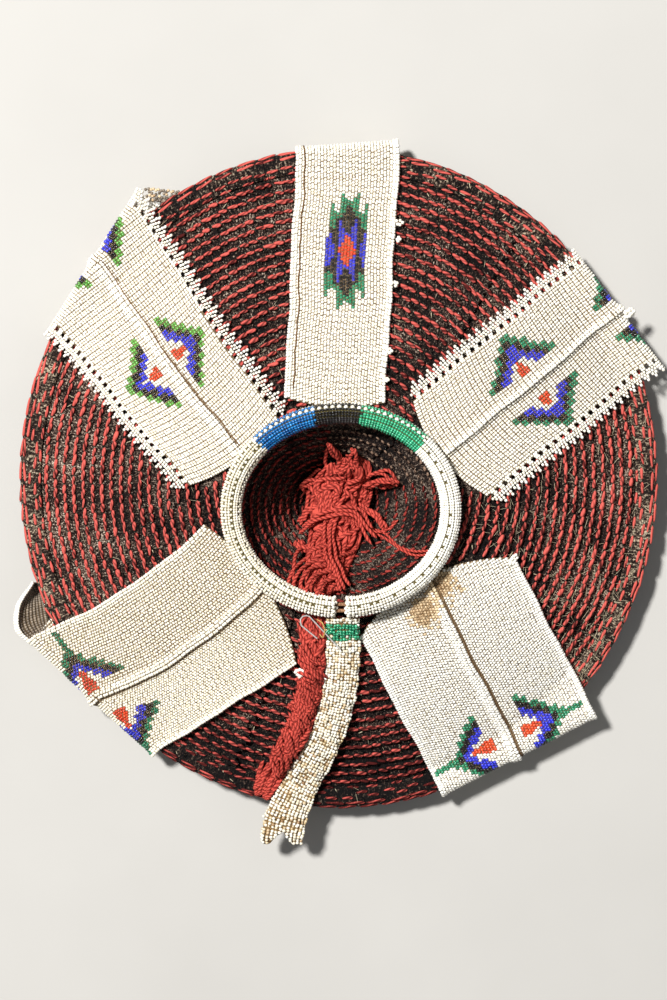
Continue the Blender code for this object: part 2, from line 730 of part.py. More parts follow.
def clear_scene():
    for shape in list(bpy.data.objects):
        bpy.data.objects.remove(shape)
    for name in ("isicholo_hat", "cutters"):
        bpy.context.scene.collection.children.link(bpy.data.collections.new(name))
    bpy.data.collections["cutters"].hide_render = True


def main():
    clear_scene()
    fibre = material("stitched_fibre", (0.17, 0.07, 0.05), 0.95)
    wrapped = material("wrapped_fibre", (0.10, 0.085, 0.07), 0.95)
    beads = material("ivory_beads", (0.86, 0.82, 0.70), 0.35)
    cord = material("brown_cord", (0.16, 0.09, 0.05), 0.9)
    yarn = material("red_yarn", (0.45, 0.05, 0.04), 0.9)
    steel = material("steel_wire", (0.62, 0.62, 0.62), 0.3, 1.0)
    flared_wall(fibre)
    crown_disc(fibre)
    rim_binding(wrapped)
    beaded_band(beads)
    band_cords(cord)
    for panel in PANELS:
        beadwork_panel(panel, beads)
    beaded_tab(beads)
    yarn_tassel(yarn)
    safety_pin(steel)


main()
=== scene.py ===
"""Isicholo hat lying upside down on its crown, dressed over its solids: stitched fibre, glass seed beads on
brown thread, red yarn and a steel pin. Metres, +Z up, in the solids' own frame.
"""

import math
from collections import namedtuple

import bmesh
import bpy
import numpy as np
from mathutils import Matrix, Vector


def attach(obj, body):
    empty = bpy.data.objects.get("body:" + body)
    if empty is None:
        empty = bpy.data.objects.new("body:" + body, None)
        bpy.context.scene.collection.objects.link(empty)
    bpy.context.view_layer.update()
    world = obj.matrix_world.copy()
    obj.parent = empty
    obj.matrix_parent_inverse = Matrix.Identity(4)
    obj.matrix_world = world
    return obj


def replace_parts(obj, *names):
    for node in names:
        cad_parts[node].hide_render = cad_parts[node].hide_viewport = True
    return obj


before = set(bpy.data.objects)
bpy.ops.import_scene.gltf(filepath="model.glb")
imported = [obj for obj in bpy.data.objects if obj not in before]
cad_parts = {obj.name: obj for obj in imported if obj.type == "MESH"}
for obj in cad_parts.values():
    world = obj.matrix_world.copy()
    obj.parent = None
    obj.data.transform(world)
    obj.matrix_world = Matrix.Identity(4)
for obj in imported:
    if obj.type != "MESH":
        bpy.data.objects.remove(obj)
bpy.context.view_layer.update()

# Fibre hat
RIM_WIDTH = 0.433
RIM_LENGTH = 0.450
RIM_LEVEL = 0.020
WALL = 0.005
FLANK_RISE = 0.040
FLANK_POWER = 1.8
BASE_WIDTH = 0.240
BINDING_WIDTH = 0.015
GAP = 0.0003
OPENING_WIDTH = 0.145
OPENING_LENGTH = 0.128
OPENING_X = 0.0015
OPENING_Y = -0.0138
BOWL_LEAN = -0.008
BOWL_FLOOR_SHARE = 0.16

# Beaded band
BAND_THICK = 0.0142
BAND_BREAK = 0.009
BAND_LIFT = 0.004
BAND_LIFT_ARC = math.radians(50)

# Beadwork panels
PANEL_WIDTH = 0.120
PANEL_THICK = 0.002
PANEL_TUCK = 0.0035
PANEL_UNDER = 0.040
PANEL_SPARE = 0.0005
PANEL_LAY = 0.7
PANEL_BOW = 0.016
PANEL_DRIFT = 0.011
DRIFT_ARC = math.radians(144)
PANEL_SWAY = 0.00045
RIDGE_HEIGHT = 0.0026
RIDGE_SLOPE = 0.009
RIDGE_DROP = 0.0018
PICOT_PITCH = 0.0066
PICOT_BAND = 0.0052
PICOT_HOLE = 0.0032
PICOTS_CUT = 27
WEB_THICK = 0.0004  # the thread that the beads hang in
BEAD_SINK = 0.00095  # from the outside of the band or the tab in to the middle of its beads

Panel = namedtuple(
    "Panel",
    "name root_deg bearing_deg width_in width_out bow drift fold_skew_deg loose ridge ridge_at steep lacy",
)
# root_deg: where the inner end meets the band, seen from the opening's middle. bearing_deg: the way the panel
# runs. width_in, width_out: shares of PANEL_WIDTH. bow, drift, ridge: shares of the sizes above.
# fold_skew_deg: turn of the fold at the rim. loose: share of BINDING_WIDTH by which the fold stands off.
# ridge_at: place of the seam, as a share of the width. steep: the side on which it drops.
PANELS = (
    Panel("panel_top", 93.6, 86.9, 0.55, 0.575, 0.3, 0.0, -7.0, 0.0, 0.0, 0.0, 1, False),
    Panel("panel_upper_left", 154.1, 126.7, 0.75, 0.90, 0.6, 0.3, -20.0, 0.0, 0.6, -0.04, -1, True),
    Panel("panel_upper_right", 28.1, 38.2, 0.80, 0.81, 0.8, 0.0, 0.5, 0.0, 1.0, -0.02, -1, True),
    Panel("panel_lower_left", 225.4, 213.1, 0.93, 1.0, 0.75, 1.0, -13.0, 0.15, 1.0, 0.0, 1, False),
    Panel("panel_lower_right", 321.6, 297.0, 0.96, 0.99, 1.0, 0.0, -0.5, 0.0, 0.7, 0.0, 1, False),
)

# Tab of folded beadwork
TAB_X = 0.0015
TAB_LENGTH = 0.164
TAB_WIDTH = 0.030
TAB_THICK = 0.005
TAB_CROWN = 0.0022
TAB_BEND = 0.042
TAB_BEND_POWER = 1.6
TAB_ROOT_DROP = 0.004
TAB_NOTCH = 0.010
TAB_NOTCH_HALF = 0.27  # half the notch's width, as a share of the tab's
TAB_DROOP = 0.003
TAB_DROOP_FROM = 0.9
TAB_EASE = 0.2
TAB_WIDTH_SHARES = (0.0, 0.25, 0.55, 0.75, 0.9, 1.0)
TAB_WIDTHS = (0.75, 0.80, 0.78, 0.83, 1.0, 0.97)

# Red yarn
ROPE_WIDTH = 0.0150
ROPE_HEIGHT = 0.0095
ROPE_START = 0.08
ROPE_END = 0.74
ROPE_SPANS = 8
ROPE_TIP = 0.6
NECK_HEIGHT = 0.0050
NECK_WIDTH = 0.015
NECK_SWING = 0.0028
HEAP_WIDTH = 0.053
HEAP_HEIGHT = 0.024
Heap = namedtuple("Heap", "along aside width height")
HEAP_ROWS = (
    Heap(-0.52, 0.03, 0.28, 0.40),
    Heap(-0.36, 0.08, 0.72, 0.80),
    Heap(-0.14, 0.02, 1.00, 1.00),
    Heap(0.10, -0.03, 0.88, 1.00),
    Heap(0.36, -0.04, 0.78, 0.85),
    Heap(0.60, -0.13, 0.72, 0.70),
    Heap(0.71, -0.15, 0.64, 0.56),
    Heap(0.82, -0.17, 0.56, 0.42),
)
LOCK_THICK = 0.0062
Lock = namedtuple("Lock", "start middle end lift")
LOCKS = (
    Lock((0.06, 0.26), (-0.02, 0.52), (-0.12, 0.66), 0.42),
    Lock((0.16, 0.26), (0.14, 0.48), (0.10, 0.60), 0.38),
    Lock((0.20, 0.16), (0.46, 0.36), (0.52, 0.22), 0.40),
    Lock((-0.06, 0.16), (-0.30, 0.30), (-0.36, 0.14), 0.40),
    Lock((-0.12, 0.02), (-0.34, -0.06), (-0.38, -0.22), 0.45),
    Lock((0.12, 0.00), (0.36, -0.08), (0.40, -0.26), 0.45),
    Lock((-0.16, -0.44), (-0.36, -0.52), (-0.42, -0.38), 0.34),
)

# Stitches, beads and strands
FLANK_ROWS = 21  # stitched rows from the rim up to the opening, on average
FLANK_RINGS = 100
ROW_SPACING = 0.0066
FLANK_SHARES = (0.0, 0.14, 0.3, 0.48, 0.67, 0.85, 1.0)  # rings under the flank, from the rim in
BOWL_ROWS = 11
BOWL_SHARES = (0.17, 0.34, 0.5, 0.66, 0.82, 1.0)  # rings under the bowl, from the lip down
CROWN_ROWS = 22  # from the flat middle out to the rim
MIDDLE_ROWS = 19  # over the flat middle
CROWN_GROOVE = 0.0006
STITCH_LONG = 0.0076
STITCH_STEP = 0.0065  # from one stitch to the next in its row
STITCH_WIDE = 0.0030
STITCH_SLANT = math.radians(11)
BOWL_FINER = 0.66  # size of the bowl's stitches against the flank's
ROW_GROOVE = 0.0015  # depth between two rows
GROOVE_POWER = 0.6  # how round the rows are
UNDER_STITCHES = 0.016  # stitches further in than this from a panel's edge are left out
UNDER_ENDS = 0.010  # and loose fibre ends
BEAD_WIDE = 0.0021  # from one column of beads to the next
BEAD_STEP = 0.00197  # from one bead to the next along its thread
BEAD_JITTER = 0.00008
FRAME_STEP = 0.0005  # over which a panel's slope is read
YARN_THICK = 0.0032
PLY_MAP = 0.1  # length of strand that one unit of its surface map covers

# Camera
CAMERA_TILT = math.radians(5.5)
CAMERA_PLACE = (-0.0034, 0.15075, 1.71335)
FOCAL_LENGTH = 90
SENSOR = 36

Oval = namedtuple("Oval", "x y half_width half_length")
chance = np.random.default_rng(11)


def rim_oval(inset):
    """The rim's outline, moved in."""
    half = RIM_WIDTH / 2 - inset
    return Oval(0.0, 0.0, half, half * RIM_LENGTH / RIM_WIDTH)


EDGE = rim_oval(BINDING_WIDTH + GAP)
LIP = Oval(OPENING_X, OPENING_Y, OPENING_WIDTH / 2, OPENING_LENGTH / 2)
FLOOR = Oval(
    OPENING_X + BOWL_LEAN,
    OPENING_Y,
    BOWL_FLOOR_SHARE * OPENING_WIDTH / 2,
    BOWL_FLOOR_SHARE * OPENING_LENGTH / 2,
)
EDGE_TOP = RIM_LEVEL + GAP / 2 + WALL
EDGE_BOTTOM = RIM_LEVEL - GAP / 2 - WALL
LIP_TOP = EDGE_TOP + FLANK_RISE
FLOOR_TOP = 2 * WALL + GAP
EDGE_FLAT = WALL / 2 / (EDGE.half_width - LIP.half_width)
CROWN_LEVEL = WALL / 2 / (EDGE.half_width - BASE_WIDTH / 2)
PANEL_RISE = GAP + PANEL_SPARE + PANEL_THICK / 2
BAND_HEIGHT = LIP_TOP + PANEL_RISE + PANEL_THICK / 2 + GAP + BAND_THICK / 2
FOLD_RADIUS = (EDGE_TOP - EDGE_BOTTOM) / 2 + PANEL_RISE
CROWN_BASE = rim_oval((RIM_WIDTH - BASE_WIDTH) / 2)


def between(first, last, share):
    """The oval at a share of the way from the first to the last."""
    return Oval(*(a + (b - a) * share for a, b in zip(first, last)))


def on_oval(oval, angle):
    return oval.x + oval.half_width * np.cos(angle), oval.y + oval.half_length * np.sin(angle)


def outside(oval, x, y):
    """Which points of the plan lie outside an oval."""
    return np.hypot((x - oval.x) / oval.half_width, (y - oval.y) / oval.half_length) > 1


def share_between(first, last, x, y):
    """Which share of the way in from the first oval passes through each point."""
    low, high = np.zeros(np.shape(x)), np.ones(np.shape(x))
    for _ in range(18):
        middle = (low + high) / 2
        past = outside(between(first, last, middle), x, y)
        high = np.where(past, middle, high)
        low = np.where(past, low, middle)
    return low


def flank_height(share):
    """Height of the wall's upper face, at a share of the way from the rim's edge up to the lip."""
    run = np.clip((share - EDGE_FLAT) / (1 - EDGE_FLAT), 0, 1)
    return EDGE_TOP + FLANK_RISE * (1 - (1 - run) ** FLANK_POWER)


def bowl_height(share):
    """Height of the bowl's face, at a share of the way from the lip down to the floor."""
    return FLOOR_TOP + (LIP_TOP - FLOOR_TOP) * (1 + np.cos(np.pi * share)) / 2


def wall_height(x, y):
    """Height of the fibre wall's upper face, and of the binding's top outside it."""
    x, y = np.asarray(x, float), np.asarray(y, float)
    flank = flank_height(share_between(EDGE, LIP, x, y))
    bowl = bowl_height(share_between(LIP, FLOOR, x, y))
    inner = np.where(outside(FLOOR, x, y), bowl, FLOOR_TOP)
    return np.where(outside(EDGE, x, y), EDGE_TOP, np.where(outside(LIP, x, y), flank, inner))


def crown_height(share):
    """Height of the crown's lower face, at a share of the way from its flat middle out to the rim."""
    return EDGE_BOTTOM * np.minimum(1.0, share / (1 - CROWN_LEVEL)) ** 2


def crown_height_at(x, y):
    """Height of the crown's lower face at points of the plan."""
    low = crown_height(1 - share_between(EDGE, CROWN_BASE, x, y))
    low = np.where(outside(CROWN_BASE, x, y), low, 0.0)
    return np.where(outside(EDGE, x, y), EDGE_BOTTOM, low)


def band_height(angle):
    """Height of the band's middle line. It lifts at the tab, where its two ends meet."""
    turn = np.abs(np.remainder(angle + np.pi / 2 + np.pi, 2 * np.pi) - np.pi)
    lift = BAND_LIFT * (1 + np.cos(np.pi * turn / BAND_LIFT_ARC)) / 2
    return BAND_HEIGHT + np.where(turn > BAND_LIFT_ARC, 0.0, lift)


def unit(vectors):
    """The vectors' directions."""
    return vectors / np.maximum(np.linalg.norm(vectors, axis=-1, keepdims=True), 1e-12)


def in_range(values, ends):
    """Which values lie between two ends."""
    return (values > ends[0]) & (values < ends[1])


def upright(flat, height):
    """Points over a plan: its two columns, and a height for each."""
    return np.concatenate((flat, np.asarray(height)[..., None]), axis=-1)


class Fold:
    """Where a flat panel's points come to lie once it runs out over the flank and folds under the rim."""

    def __init__(self, panel):
        self.panel = panel
        self.width_in = panel.width_in * PANEL_WIDTH
        self.width_out = panel.width_out * PANEL_WIDTH
        root = math.radians(panel.root_deg)
        bearing = math.radians(panel.bearing_deg)
        self.run = np.array((math.cos(bearing), math.sin(bearing)))
        self.side = np.array((-self.run[1], self.run[0]))
        lip = 1 / math.hypot(math.cos(root) / LIP.half_width, math.sin(root) / LIP.half_length)
        reach = PANEL_TUCK + lip
        self.root = np.array((LIP.x + reach * math.cos(root), LIP.y + reach * math.sin(root)))
        self.skew = math.tan(math.radians(panel.fold_skew_deg))
        turn = bearing - math.radians(panel.fold_skew_deg)
        self.across_fold = np.array((math.cos(turn), math.sin(turn)))
        self.fold_at = self.rim_distance() + panel.loose * BINDING_WIDTH
        self.shrink = math.cos(math.radians(panel.fold_skew_deg))
        self.under = self.fold_at + math.pi * FOLD_RADIUS / self.shrink
        self.length = self.under + PANEL_UNDER / self.shrink
        self.seam = panel.ridge_at * self.width_in

    def rim_distance(self):
        share = np.linspace(-0.5, 0.5, 9)
        aside = share * self.width_out
        start = self.root + (aside + self.drift(1, 2 * share))[:, None] * self.side
        low, high = np.zeros(9), np.full(9, RIM_LENGTH)
        rim = rim_oval(FOLD_RADIUS - PANEL_RISE)
        for _ in range(30):
            middle = (low + high) / 2
            past = outside(rim, *(start + middle[:, None] * self.run).T)
            high = np.where(past, middle, high)
            low = np.where(past, low, middle)
        return max(0.0, (low - aside * self.skew).max())

    def width(self, along):
        return self.width_in + (self.width_out - self.width_in) * np.minimum(1.0, along / self.fold_at)

    def drift(self, share, across):
        slip = self.panel.drift * PANEL_DRIFT * np.sin(DRIFT_ARC * share)
        return slip * (1 - np.maximum(0.0, across))

    def ridge(self, along, aside):
        panel = self.panel
        clear = np.minimum(1.0, along / (BAND_THICK / 2))
        past = (aside - self.seam) * panel.steep
        side = np.where(past > 0, past / RIDGE_DROP, -past / RIDGE_SLOPE)
        return clear * panel.ridge * RIDGE_HEIGHT * np.maximum(0.0, 1 - side)

    def place(self, along, aside):
        """Middle of the cloth, this far along and aside, on rows that turn with the fold."""
        along, aside = np.broadcast_arrays(np.asarray(along, float), np.asarray(aside, float))
        across = aside / (self.width(along) / 2)
        share = np.minimum(1.0, along / self.fold_at)
        bow = self.panel.bow * PANEL_BOW * across**2 * (1 - share)
        turned = aside * self.skew * share
        past = (along - self.fold_at) * self.shrink
        raised = self.ridge(along, aside)
        sway = np.sin(along * 75 + self.seam * 900) + 0.6 * np.sin(along * 163 + aside * 30)
        aside = aside + self.drift(share, across) + PANEL_SWAY * sway
        out = np.where(past <= 0, along + bow, self.fold_at) + turned
        angle = np.clip(past / FOLD_RADIUS, 0, np.pi)
        back = np.maximum(0.0, past - np.pi * FOLD_RADIUS)
        reach = (FOLD_RADIUS + raised) * np.sin(angle) - back
        flat = self.root + out[..., None] * self.run + aside[..., None] * self.side
        flat = flat + reach[..., None] * self.across_fold
        bent = EDGE_TOP + PANEL_RISE - FOLD_RADIUS + (FOLD_RADIUS + raised) * np.cos(angle)
        below = crown_height_at(flat[..., 0], flat[..., 1]) - PANEL_RISE - raised
        lying = self.laid(flat, aside) + raised
        return upright(flat, np.where(past <= 0, lying, np.where(back <= 0, bent, below)))

    def laid(self, flat, aside):
        middle = flat - aside[..., None] * self.side
        high = wall_height(middle[..., 0], middle[..., 1])
        here = wall_height(flat[..., 0], flat[..., 1])
        on_flank = outside(LIP, middle[..., 0], middle[..., 1])
        eased = np.where(here < high, high + PANEL_LAY * (here - high), here)
        return np.where(on_flank, eased, np.maximum(here, LIP_TOP)) + PANEL_RISE

    def covers(self, x, y, margin):
        """Whether points of the plan lie well under the panel."""
        away = np.stack((x, y), axis=-1) - self.root
        along = away @ self.run
        aside = away @ self.side
        return (along > 0) & (np.abs(aside) < self.width(along) / 2 - margin)


FOLDS = {panel.name: Fold(panel) for panel in PANELS}


def tint(red, green, blue):
    """Colour as the shader takes it, from screen values."""
    shares = (value / 255 for value in (red, green, blue))
    return (*(s / 12.92 if s <= 0.04045 else ((s + 0.055) / 1.055) ** 2.4 for s in shares), 1)


def finish(name, roughness, **sockets):
    """A new material. Returns it, a function that adds a node and one that feeds a socket of its shader."""
    made = bpy.data.materials.new(name)
    made.use_nodes = True
    tree = made.node_tree
    shader = tree.nodes["Principled BSDF"]
    shader.inputs["Roughness"].default_value = roughness
    for socket, value in sockets.items():
        shader.inputs[socket.replace("_", " ")].default_value = value

    def add(kind, inputs, output=0, **settings):
        node = tree.nodes.new(kind)
        for setting, value in settings.items():
            setattr(node, setting, value)
        for socket, value in inputs.items():
            if isinstance(value, bpy.types.NodeSocket):
                tree.links.new(value, node.inputs[socket])
            else:
                node.inputs[socket].default_value = value
        return node.outputs[output]

    def join(value, socket):
        tree.links.new(value, shader.inputs[socket])

    return made, add, join


def ramp(add, factor, *stops):
    """Screen colours at shares of a factor."""
    output = add("ShaderNodeValToRGB", {"Fac": factor})
    elements = output.node.color_ramp.elements
    while len(elements) < len(stops):
        elements.new(0.5)
    for element, (share, colour) in zip(elements, stops):
        element.position = share
        element.color = tint(*colour)
    return output


def summed(add, first, *others):
    """The sum of several sockets' values."""
    for other in others:
        first = add("ShaderNodeMath", {0: first, 1: other}, operation="ADD")
    return first


def noise(add, scale, detail=4.0, roughness=0.6, vector=None):
    """Mottling, at a scale to the metre unless a surface map is given."""
    if vector is None:
        vector = add("ShaderNodeTexCoord", {}, "Object")
    inputs = {"Vector": vector, "Scale": scale, "Detail": detail, "Roughness": roughness}
    return add("ShaderNodeTexNoise", inputs)


def stretched(add, scale, rotation=(0, 0, 0)):
    """The piece's own surface map, drawn out."""
    surface = add("ShaderNodeUVMap", {}, uv_map="UVMap")
    return add("ShaderNodeMapping", {"Vector": surface, "Scale": scale, "Rotation": rotation})


def bump(add, height, strength, distance):
    return add("ShaderNodeBump", {"Height": height, "Strength": strength, "Distance": distance})


def tone_of(add):
    """Lighter or darker, set for each small thing by itself."""
    return add("ShaderNodeAttribute", {}, 2, attribute_name="tone")


def fibre_finish(name, strands, dark, middle, light, fleck):
    """Packed grass fibre: fine strands along the surface, mottled, with pale flecks. The near edge is
    darkened as painted shade and the sides are lighter."""
    made, add, join = finish(name, 0.95, Specular_IOR_Level=0.25)
    fine = noise(add, 1.0, 3.0, vector=stretched(add, strands))
    knobs = noise(add, KNOBS, 3.0, 0.65)
    broad = noise(add, BLOTCHES, 2.0, 0.5)
    grain = summed(add, knobs, knobs, fine, fine, broad)
    share = add("ShaderNodeMapRange", {"Value": grain, "From Min": GRAIN[0], "From Max": GRAIN[1]})
    place = add("ShaderNodeTexCoord", {}, "Object")
    x, y = (add("ShaderNodeSeparateXYZ", {"Vector": place}, axis) for axis in (0, 1))
    x = add("ShaderNodeMath", {0: x}, operation="ABSOLUTE")
    # Painted shade darkens the near edge along Y, and the sides are made lighter along X
    for value, near, far, low, high in ((y, *NEAR_EDGE_SHADE_SPAN, -NEAR_EDGE_PAINTED_SHADE, 0.0), (x, *SIDE_LIGHTENING_SPAN, 0.0, SIDE_LIGHTENING)):
        ends = {"From Min": near, "From Max": far, "To Min": low, "To Max": high}
        share = summed(add, share, add("ShaderNodeMapRange", {"Value": value, **ends}))
    join(ramp(add, share, (0.0, dark), (0.4, middle), (0.75, light), (1.0, fleck)), "Base Color")
    join(bump(add, grain, 1.0, FIBRE_RELIEF), "Normal")
    return made


def thread_finish(name, dark, light, turns, roughness=0.85):
    """Twisted thread: slanting plies, so many each way over the surface map, darker in the grooves between
    the plies as painted shade, and a soft nap.
    """
    made, add, join = finish(name, roughness, Specular_IOR_Level=0.15)
    scale = (turns[0] * WAVE_PERIOD, turns[1] * WAVE_PERIOD, 1)
    plies = add(
        "ShaderNodeTexWave",
        {"Vector": stretched(add, scale), "Scale": 1.0, "Distortion": 0.6, "Detail": 2.0},
        1,
        bands_direction="DIAGONAL",
    )
    share = add("ShaderNodeMath", {0: plies, 1: noise(add, 1500.0, 2.0)}, operation="MULTIPLY")
    # Painted shade: the colour is darkest in the grooves between the plies, mottled by the nap
    join(ramp(add, summed(add, share, tone_of(add)), (0.0, dark), (0.5, light)), "Base Color")
    join(bump(add, plies, 0.5, 0.0005), "Normal")
    return made


def bead_finish(name, dark, light, roughness):
    """Glass seed beads, each a little lighter or darker than the next."""
    made, add, join = finish(name, roughness, Specular_IOR_Level=0.75)
    share = summed(add, noise(add, 700.0, 2.0), tone_of(add))
    join(ramp(add, share, (0.1, dark), (0.9, light)), "Base Color")
    return made


def plain_finish(name, roughness, dark, light, scale, **sockets):
    """One stuff, a little mottled."""
    made, add, join = finish(name, roughness, **sockets)
    grain = noise(add, scale)
    join(ramp(add, grain, (0.3, dark), (0.7, light)), "Base Color")
    join(bump(add, grain, 0.2, 0.0003), "Normal")
    return made


KNOBS = 640.0  # scale to a metre of the fibre's knobs
BLOTCHES = 45.0  # and of its lighter and darker places
GRAIN = (2.30, 3.0)  # sums of the fibre's grain that give its darkest and its palest colour
FIBRE_RELIEF = 0.0016
NEAR_EDGE_SHADE_SPAN = (-0.225, -0.130)  # along Y, from where the painted shade on the near edge is darkest to where it ends
SIDE_LIGHTENING_SPAN = (0.120, 0.200)  # away from the middle along X, from where the sides start to lighten
NEAR_EDGE_PAINTED_SHADE = 0.36  # how much darker the painted shade makes the near edge, as a share of the way from the darkest to the palest colour
SIDE_LIGHTENING = 0.22  # how much lighter the sides are
WAVE_PERIOD = 2 * math.pi / 10  # of the wave texture's diagonal bands
FIBRE = fibre_finish(
    "stitched_fibre", (150, 1150, 1), (8, 5, 5), (48, 32, 27), (132, 108, 92), (226, 208, 186)
)
WRAP = fibre_finish(
    "wrapped_fibre", (900, 14, 1), (8, 5, 5), (46, 33, 28), (124, 104, 88), (210, 194, 164)
)
RED_STITCH = thread_finish("red_stitch", (72, 20, 18), (206, 92, 82), (2, 2))
# The bowl's stitches: red darkened as painted shade in the bowl's hollow
BOWL_SHADE_STITCH = thread_finish("dull_stitch", (52, 14, 12), (158, 60, 52), (2, 2))
BROWN_STITCH = thread_finish("brown_stitch", (40, 28, 22), (150, 122, 102), (2, 2))
RED_YARN = thread_finish("red_yarn", (120, 34, 28), (206, 84, 70), (30, 2))
# Brown thread, darkened as painted shade in the gaps between the panels' beads
WEB_THREAD_AND_SHADE = thread_finish("bead_thread", (60, 47, 34), (150, 128, 98), (110, 60))
SEAM = thread_finish("seam_thread", (66, 46, 26), (150, 112, 72), (90, 2))
# Golden thread, darkened as painted shade in the gaps between the tab's beads
GOLD_THREAD_AND_SHADE = thread_finish("golden_thread", (70, 52, 30), (156, 124, 78), (110, 40))
GOLD_THREAD = thread_finish("golden_loop", (140, 102, 46), (236, 198, 126), (90, 2))
CORE = thread_finish("band_core", (50, 44, 24), (116, 104, 64), (240, 20))
CORD = plain_finish("brown_cord", 0.85, (84, 54, 34), (176, 130, 92), 900.0)
STRAW = plain_finish("straw", 0.7, (160, 146, 112), (226, 214, 182), 900.0)
LINT = plain_finish("brown_lint", 0.9, (146, 108, 68), (206, 172, 124), 900.0)
STEEL = plain_finish("steel_wire", 0.35, (216, 214, 208), (246, 244, 240), 500.0, Metallic=0.75)
PALE_FLOOR = plain_finish("pale_floor", 0.9, (184, 181, 175), (191, 188, 182), 3.0)

IVORY, COBALT, BLACK, GREEN, LIME, RED, STAINED, SKY, MINT, CREAM, SHADED = range(11)
BEADS = [
    bead_finish(name + "_beads", dark, light, roughness)
    for name, dark, light, roughness in (
        ("ivory", (228, 218, 192), (255, 252, 243), 0.22),
        ("cobalt", (20, 22, 130), (56, 64, 225), 0.22),
        ("black", (9, 8, 8), (34, 30, 28), 0.2),
        ("green", (14, 74, 50), (52, 152, 108), 0.22),
        ("yellow_green", (44, 104, 34), (120, 190, 84), 0.22),
        ("red", (176, 34, 16), (240, 88, 40), 0.22),
        ("stained", (150, 114, 74), (234, 210, 170), 0.6),
        ("sky", (8, 78, 142), (40, 146, 214), 0.22),
        ("mint", (20, 116, 78), (70, 190, 140), 0.22),
        ("cream", (190, 164, 118), (252, 244, 224), 0.22),
        # grey-brown beads: painted shade inside the lower left panel's loose turn; the reverse lace uses them
        # too
        ("shaded", (84, 72, 60), (150, 134, 114), 0.6),
    )
]


def add_piece(name, mesh, slot, *finishes):
    """A piece of the hat, at the origin like the solids."""
    piece = bpy.data.objects.new(name, mesh)
    for made in finishes:
        mesh.materials.append(made)
    bpy.context.scene.collection.objects.link(piece)
    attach(piece, "root")
    return piece


def surface_map(bm):
    """The mesh's surface map, under the name that the finishes read."""
    return bm.loops.layers.uv.get("UVMap") or bm.loops.layers.uv.new("UVMap")


def bend_grid(bm, rows, columns, place):
    """Adds a grid bent by place, which takes each corner's shares along and across, and welds its borders
    where they meet."""
    surface_map(bm)
    made = bmesh.ops.create_grid(bm, x_segments=rows, y_segments=columns, size=0.5, calc_uvs=True)["verts"]
    along, across = (np.array([vert.co[:2] for vert in made]) + 0.5).T
    border = [v for v, a, b in zip(made, along, across) if min(a, b) < 1e-4 or max(a, b) > 1 - 1e-4]
    for vert, point in zip(made, place(along, across)):
        vert.co = point
    bmesh.ops.remove_doubles(bm, verts=border, dist=1e-6)


def piece_from(bm, name, slot, made, closed=True):
    """Makes the mesh a piece of the hat. The faces of a closed one are turned outwards."""
    if closed:
        bmesh.ops.recalc_face_normals(bm, faces=bm.faces)
    mesh = bpy.data.meshes.new(name)
    bm.to_mesh(mesh)
    bm.free()
    mesh.shade_smooth()
    return add_piece(name, mesh, slot, made)


def thread_web(bm, name, made):
    """The open sheet of thread that beads hang in."""
    web = piece_from(bm, name, "brown_cord", made, False)
    solid = web.modifiers.new("thread", "SOLIDIFY")
    solid.thickness = WEB_THICK
    solid.offset = 0
    return web


Shape = namedtuple("Shape", "corners loops starts uvs")


def small_shape(sides, rings, shaping):
    """A round shape on its Z axis, kept as arrays that strew can repeat."""
    bm = bmesh.new()
    uv = surface_map(bm)
    bmesh.ops.create_uvsphere(bm, u_segments=sides, v_segments=rings, radius=1, calc_uvs=True)
    for vert in bm.verts:
        vert.co = shaping(vert.co)
    bm.verts.index_update()
    faces = sorted(bm.faces, key=lambda face: face.calc_center_median()[:])
    corners = np.array([vert.co[:] for vert in bm.verts])
    loops = np.array([loop.vert.index for face in faces for loop in face.loops])
    starts = np.cumsum([0] + [len(face.loops) for face in faces][:-1])
    uvs = np.array([loop[uv].uv[:] for face in faces for loop in face.loops])
    bm.free()
    return Shape(corners, loops, starts, uvs)


def barrel(point):
    """Round sides and blunt ends."""
    if abs(point.z) > 0.9:
        return Vector((0, 0, math.copysign(1, point.z)))
    flat = Vector((point.x, point.y)).normalized()
    return Vector((flat.x, flat.y, math.copysign(0.64, point.z)))


def drop(point):
    """Blunt and thick at the start, a little drawn out to its end."""
    size = 1.0 - 0.25 * (point.z + 1) / 2
    if 0.1 < abs(point.z) < 0.9:
        size *= 1.18
    return Vector((point.x * size, point.y * size, point.z))


BEAD = small_shape(5, 3, barrel)
SMALL_BEAD = small_shape(4, 3, barrel)
STITCH = small_shape(5, 4, drop)
SLIVER = small_shape(3, 3, Vector.copy)


def strew(name, shape, places, frames, sizes, tones, slot, finishes, kinds=None):
    """One mesh with a copy of the shape at each place. A frame's rows are the copy's own axes."""
    count, corners = len(places), len(shape.corners)
    world = places[:, None, :] + np.einsum("mi,ni,nij->nmj", shape.corners, sizes, frames)
    step = np.arange(count)[:, None]
    mesh = bpy.data.meshes.new(name)
    mesh.vertices.add(count * corners)
    mesh.vertices.foreach_set("co", world.ravel())
    mesh.loops.add(count * len(shape.loops))
    mesh.loops.foreach_set("vertex_index", (shape.loops + corners * step).ravel())
    mesh.polygons.add(count * len(shape.starts))
    mesh.polygons.foreach_set("loop_start", (shape.starts + len(shape.loops) * step).ravel())
    if kinds is not None:
        mesh.polygons.foreach_set("material_index", np.repeat(kinds, len(shape.starts)))
    surface = mesh.uv_layers.new(name="UVMap")
    surface.uv.foreach_set("vector", np.tile(shape.uvs, (count, 1)).ravel())
    mesh.attributes.new("tone", "FLOAT", "POINT").data.foreach_set("value", np.repeat(tones, corners))
    mesh.update(calc_edges=True)
    mesh.validate()
    mesh.shade_smooth()
    return add_piece(name, mesh, slot, *finishes)


def sizes_of(aside, up, along):
    """Half sizes of strewn copies on their own axes."""
    return np.stack(np.broadcast_arrays(aside, up, along), axis=1)


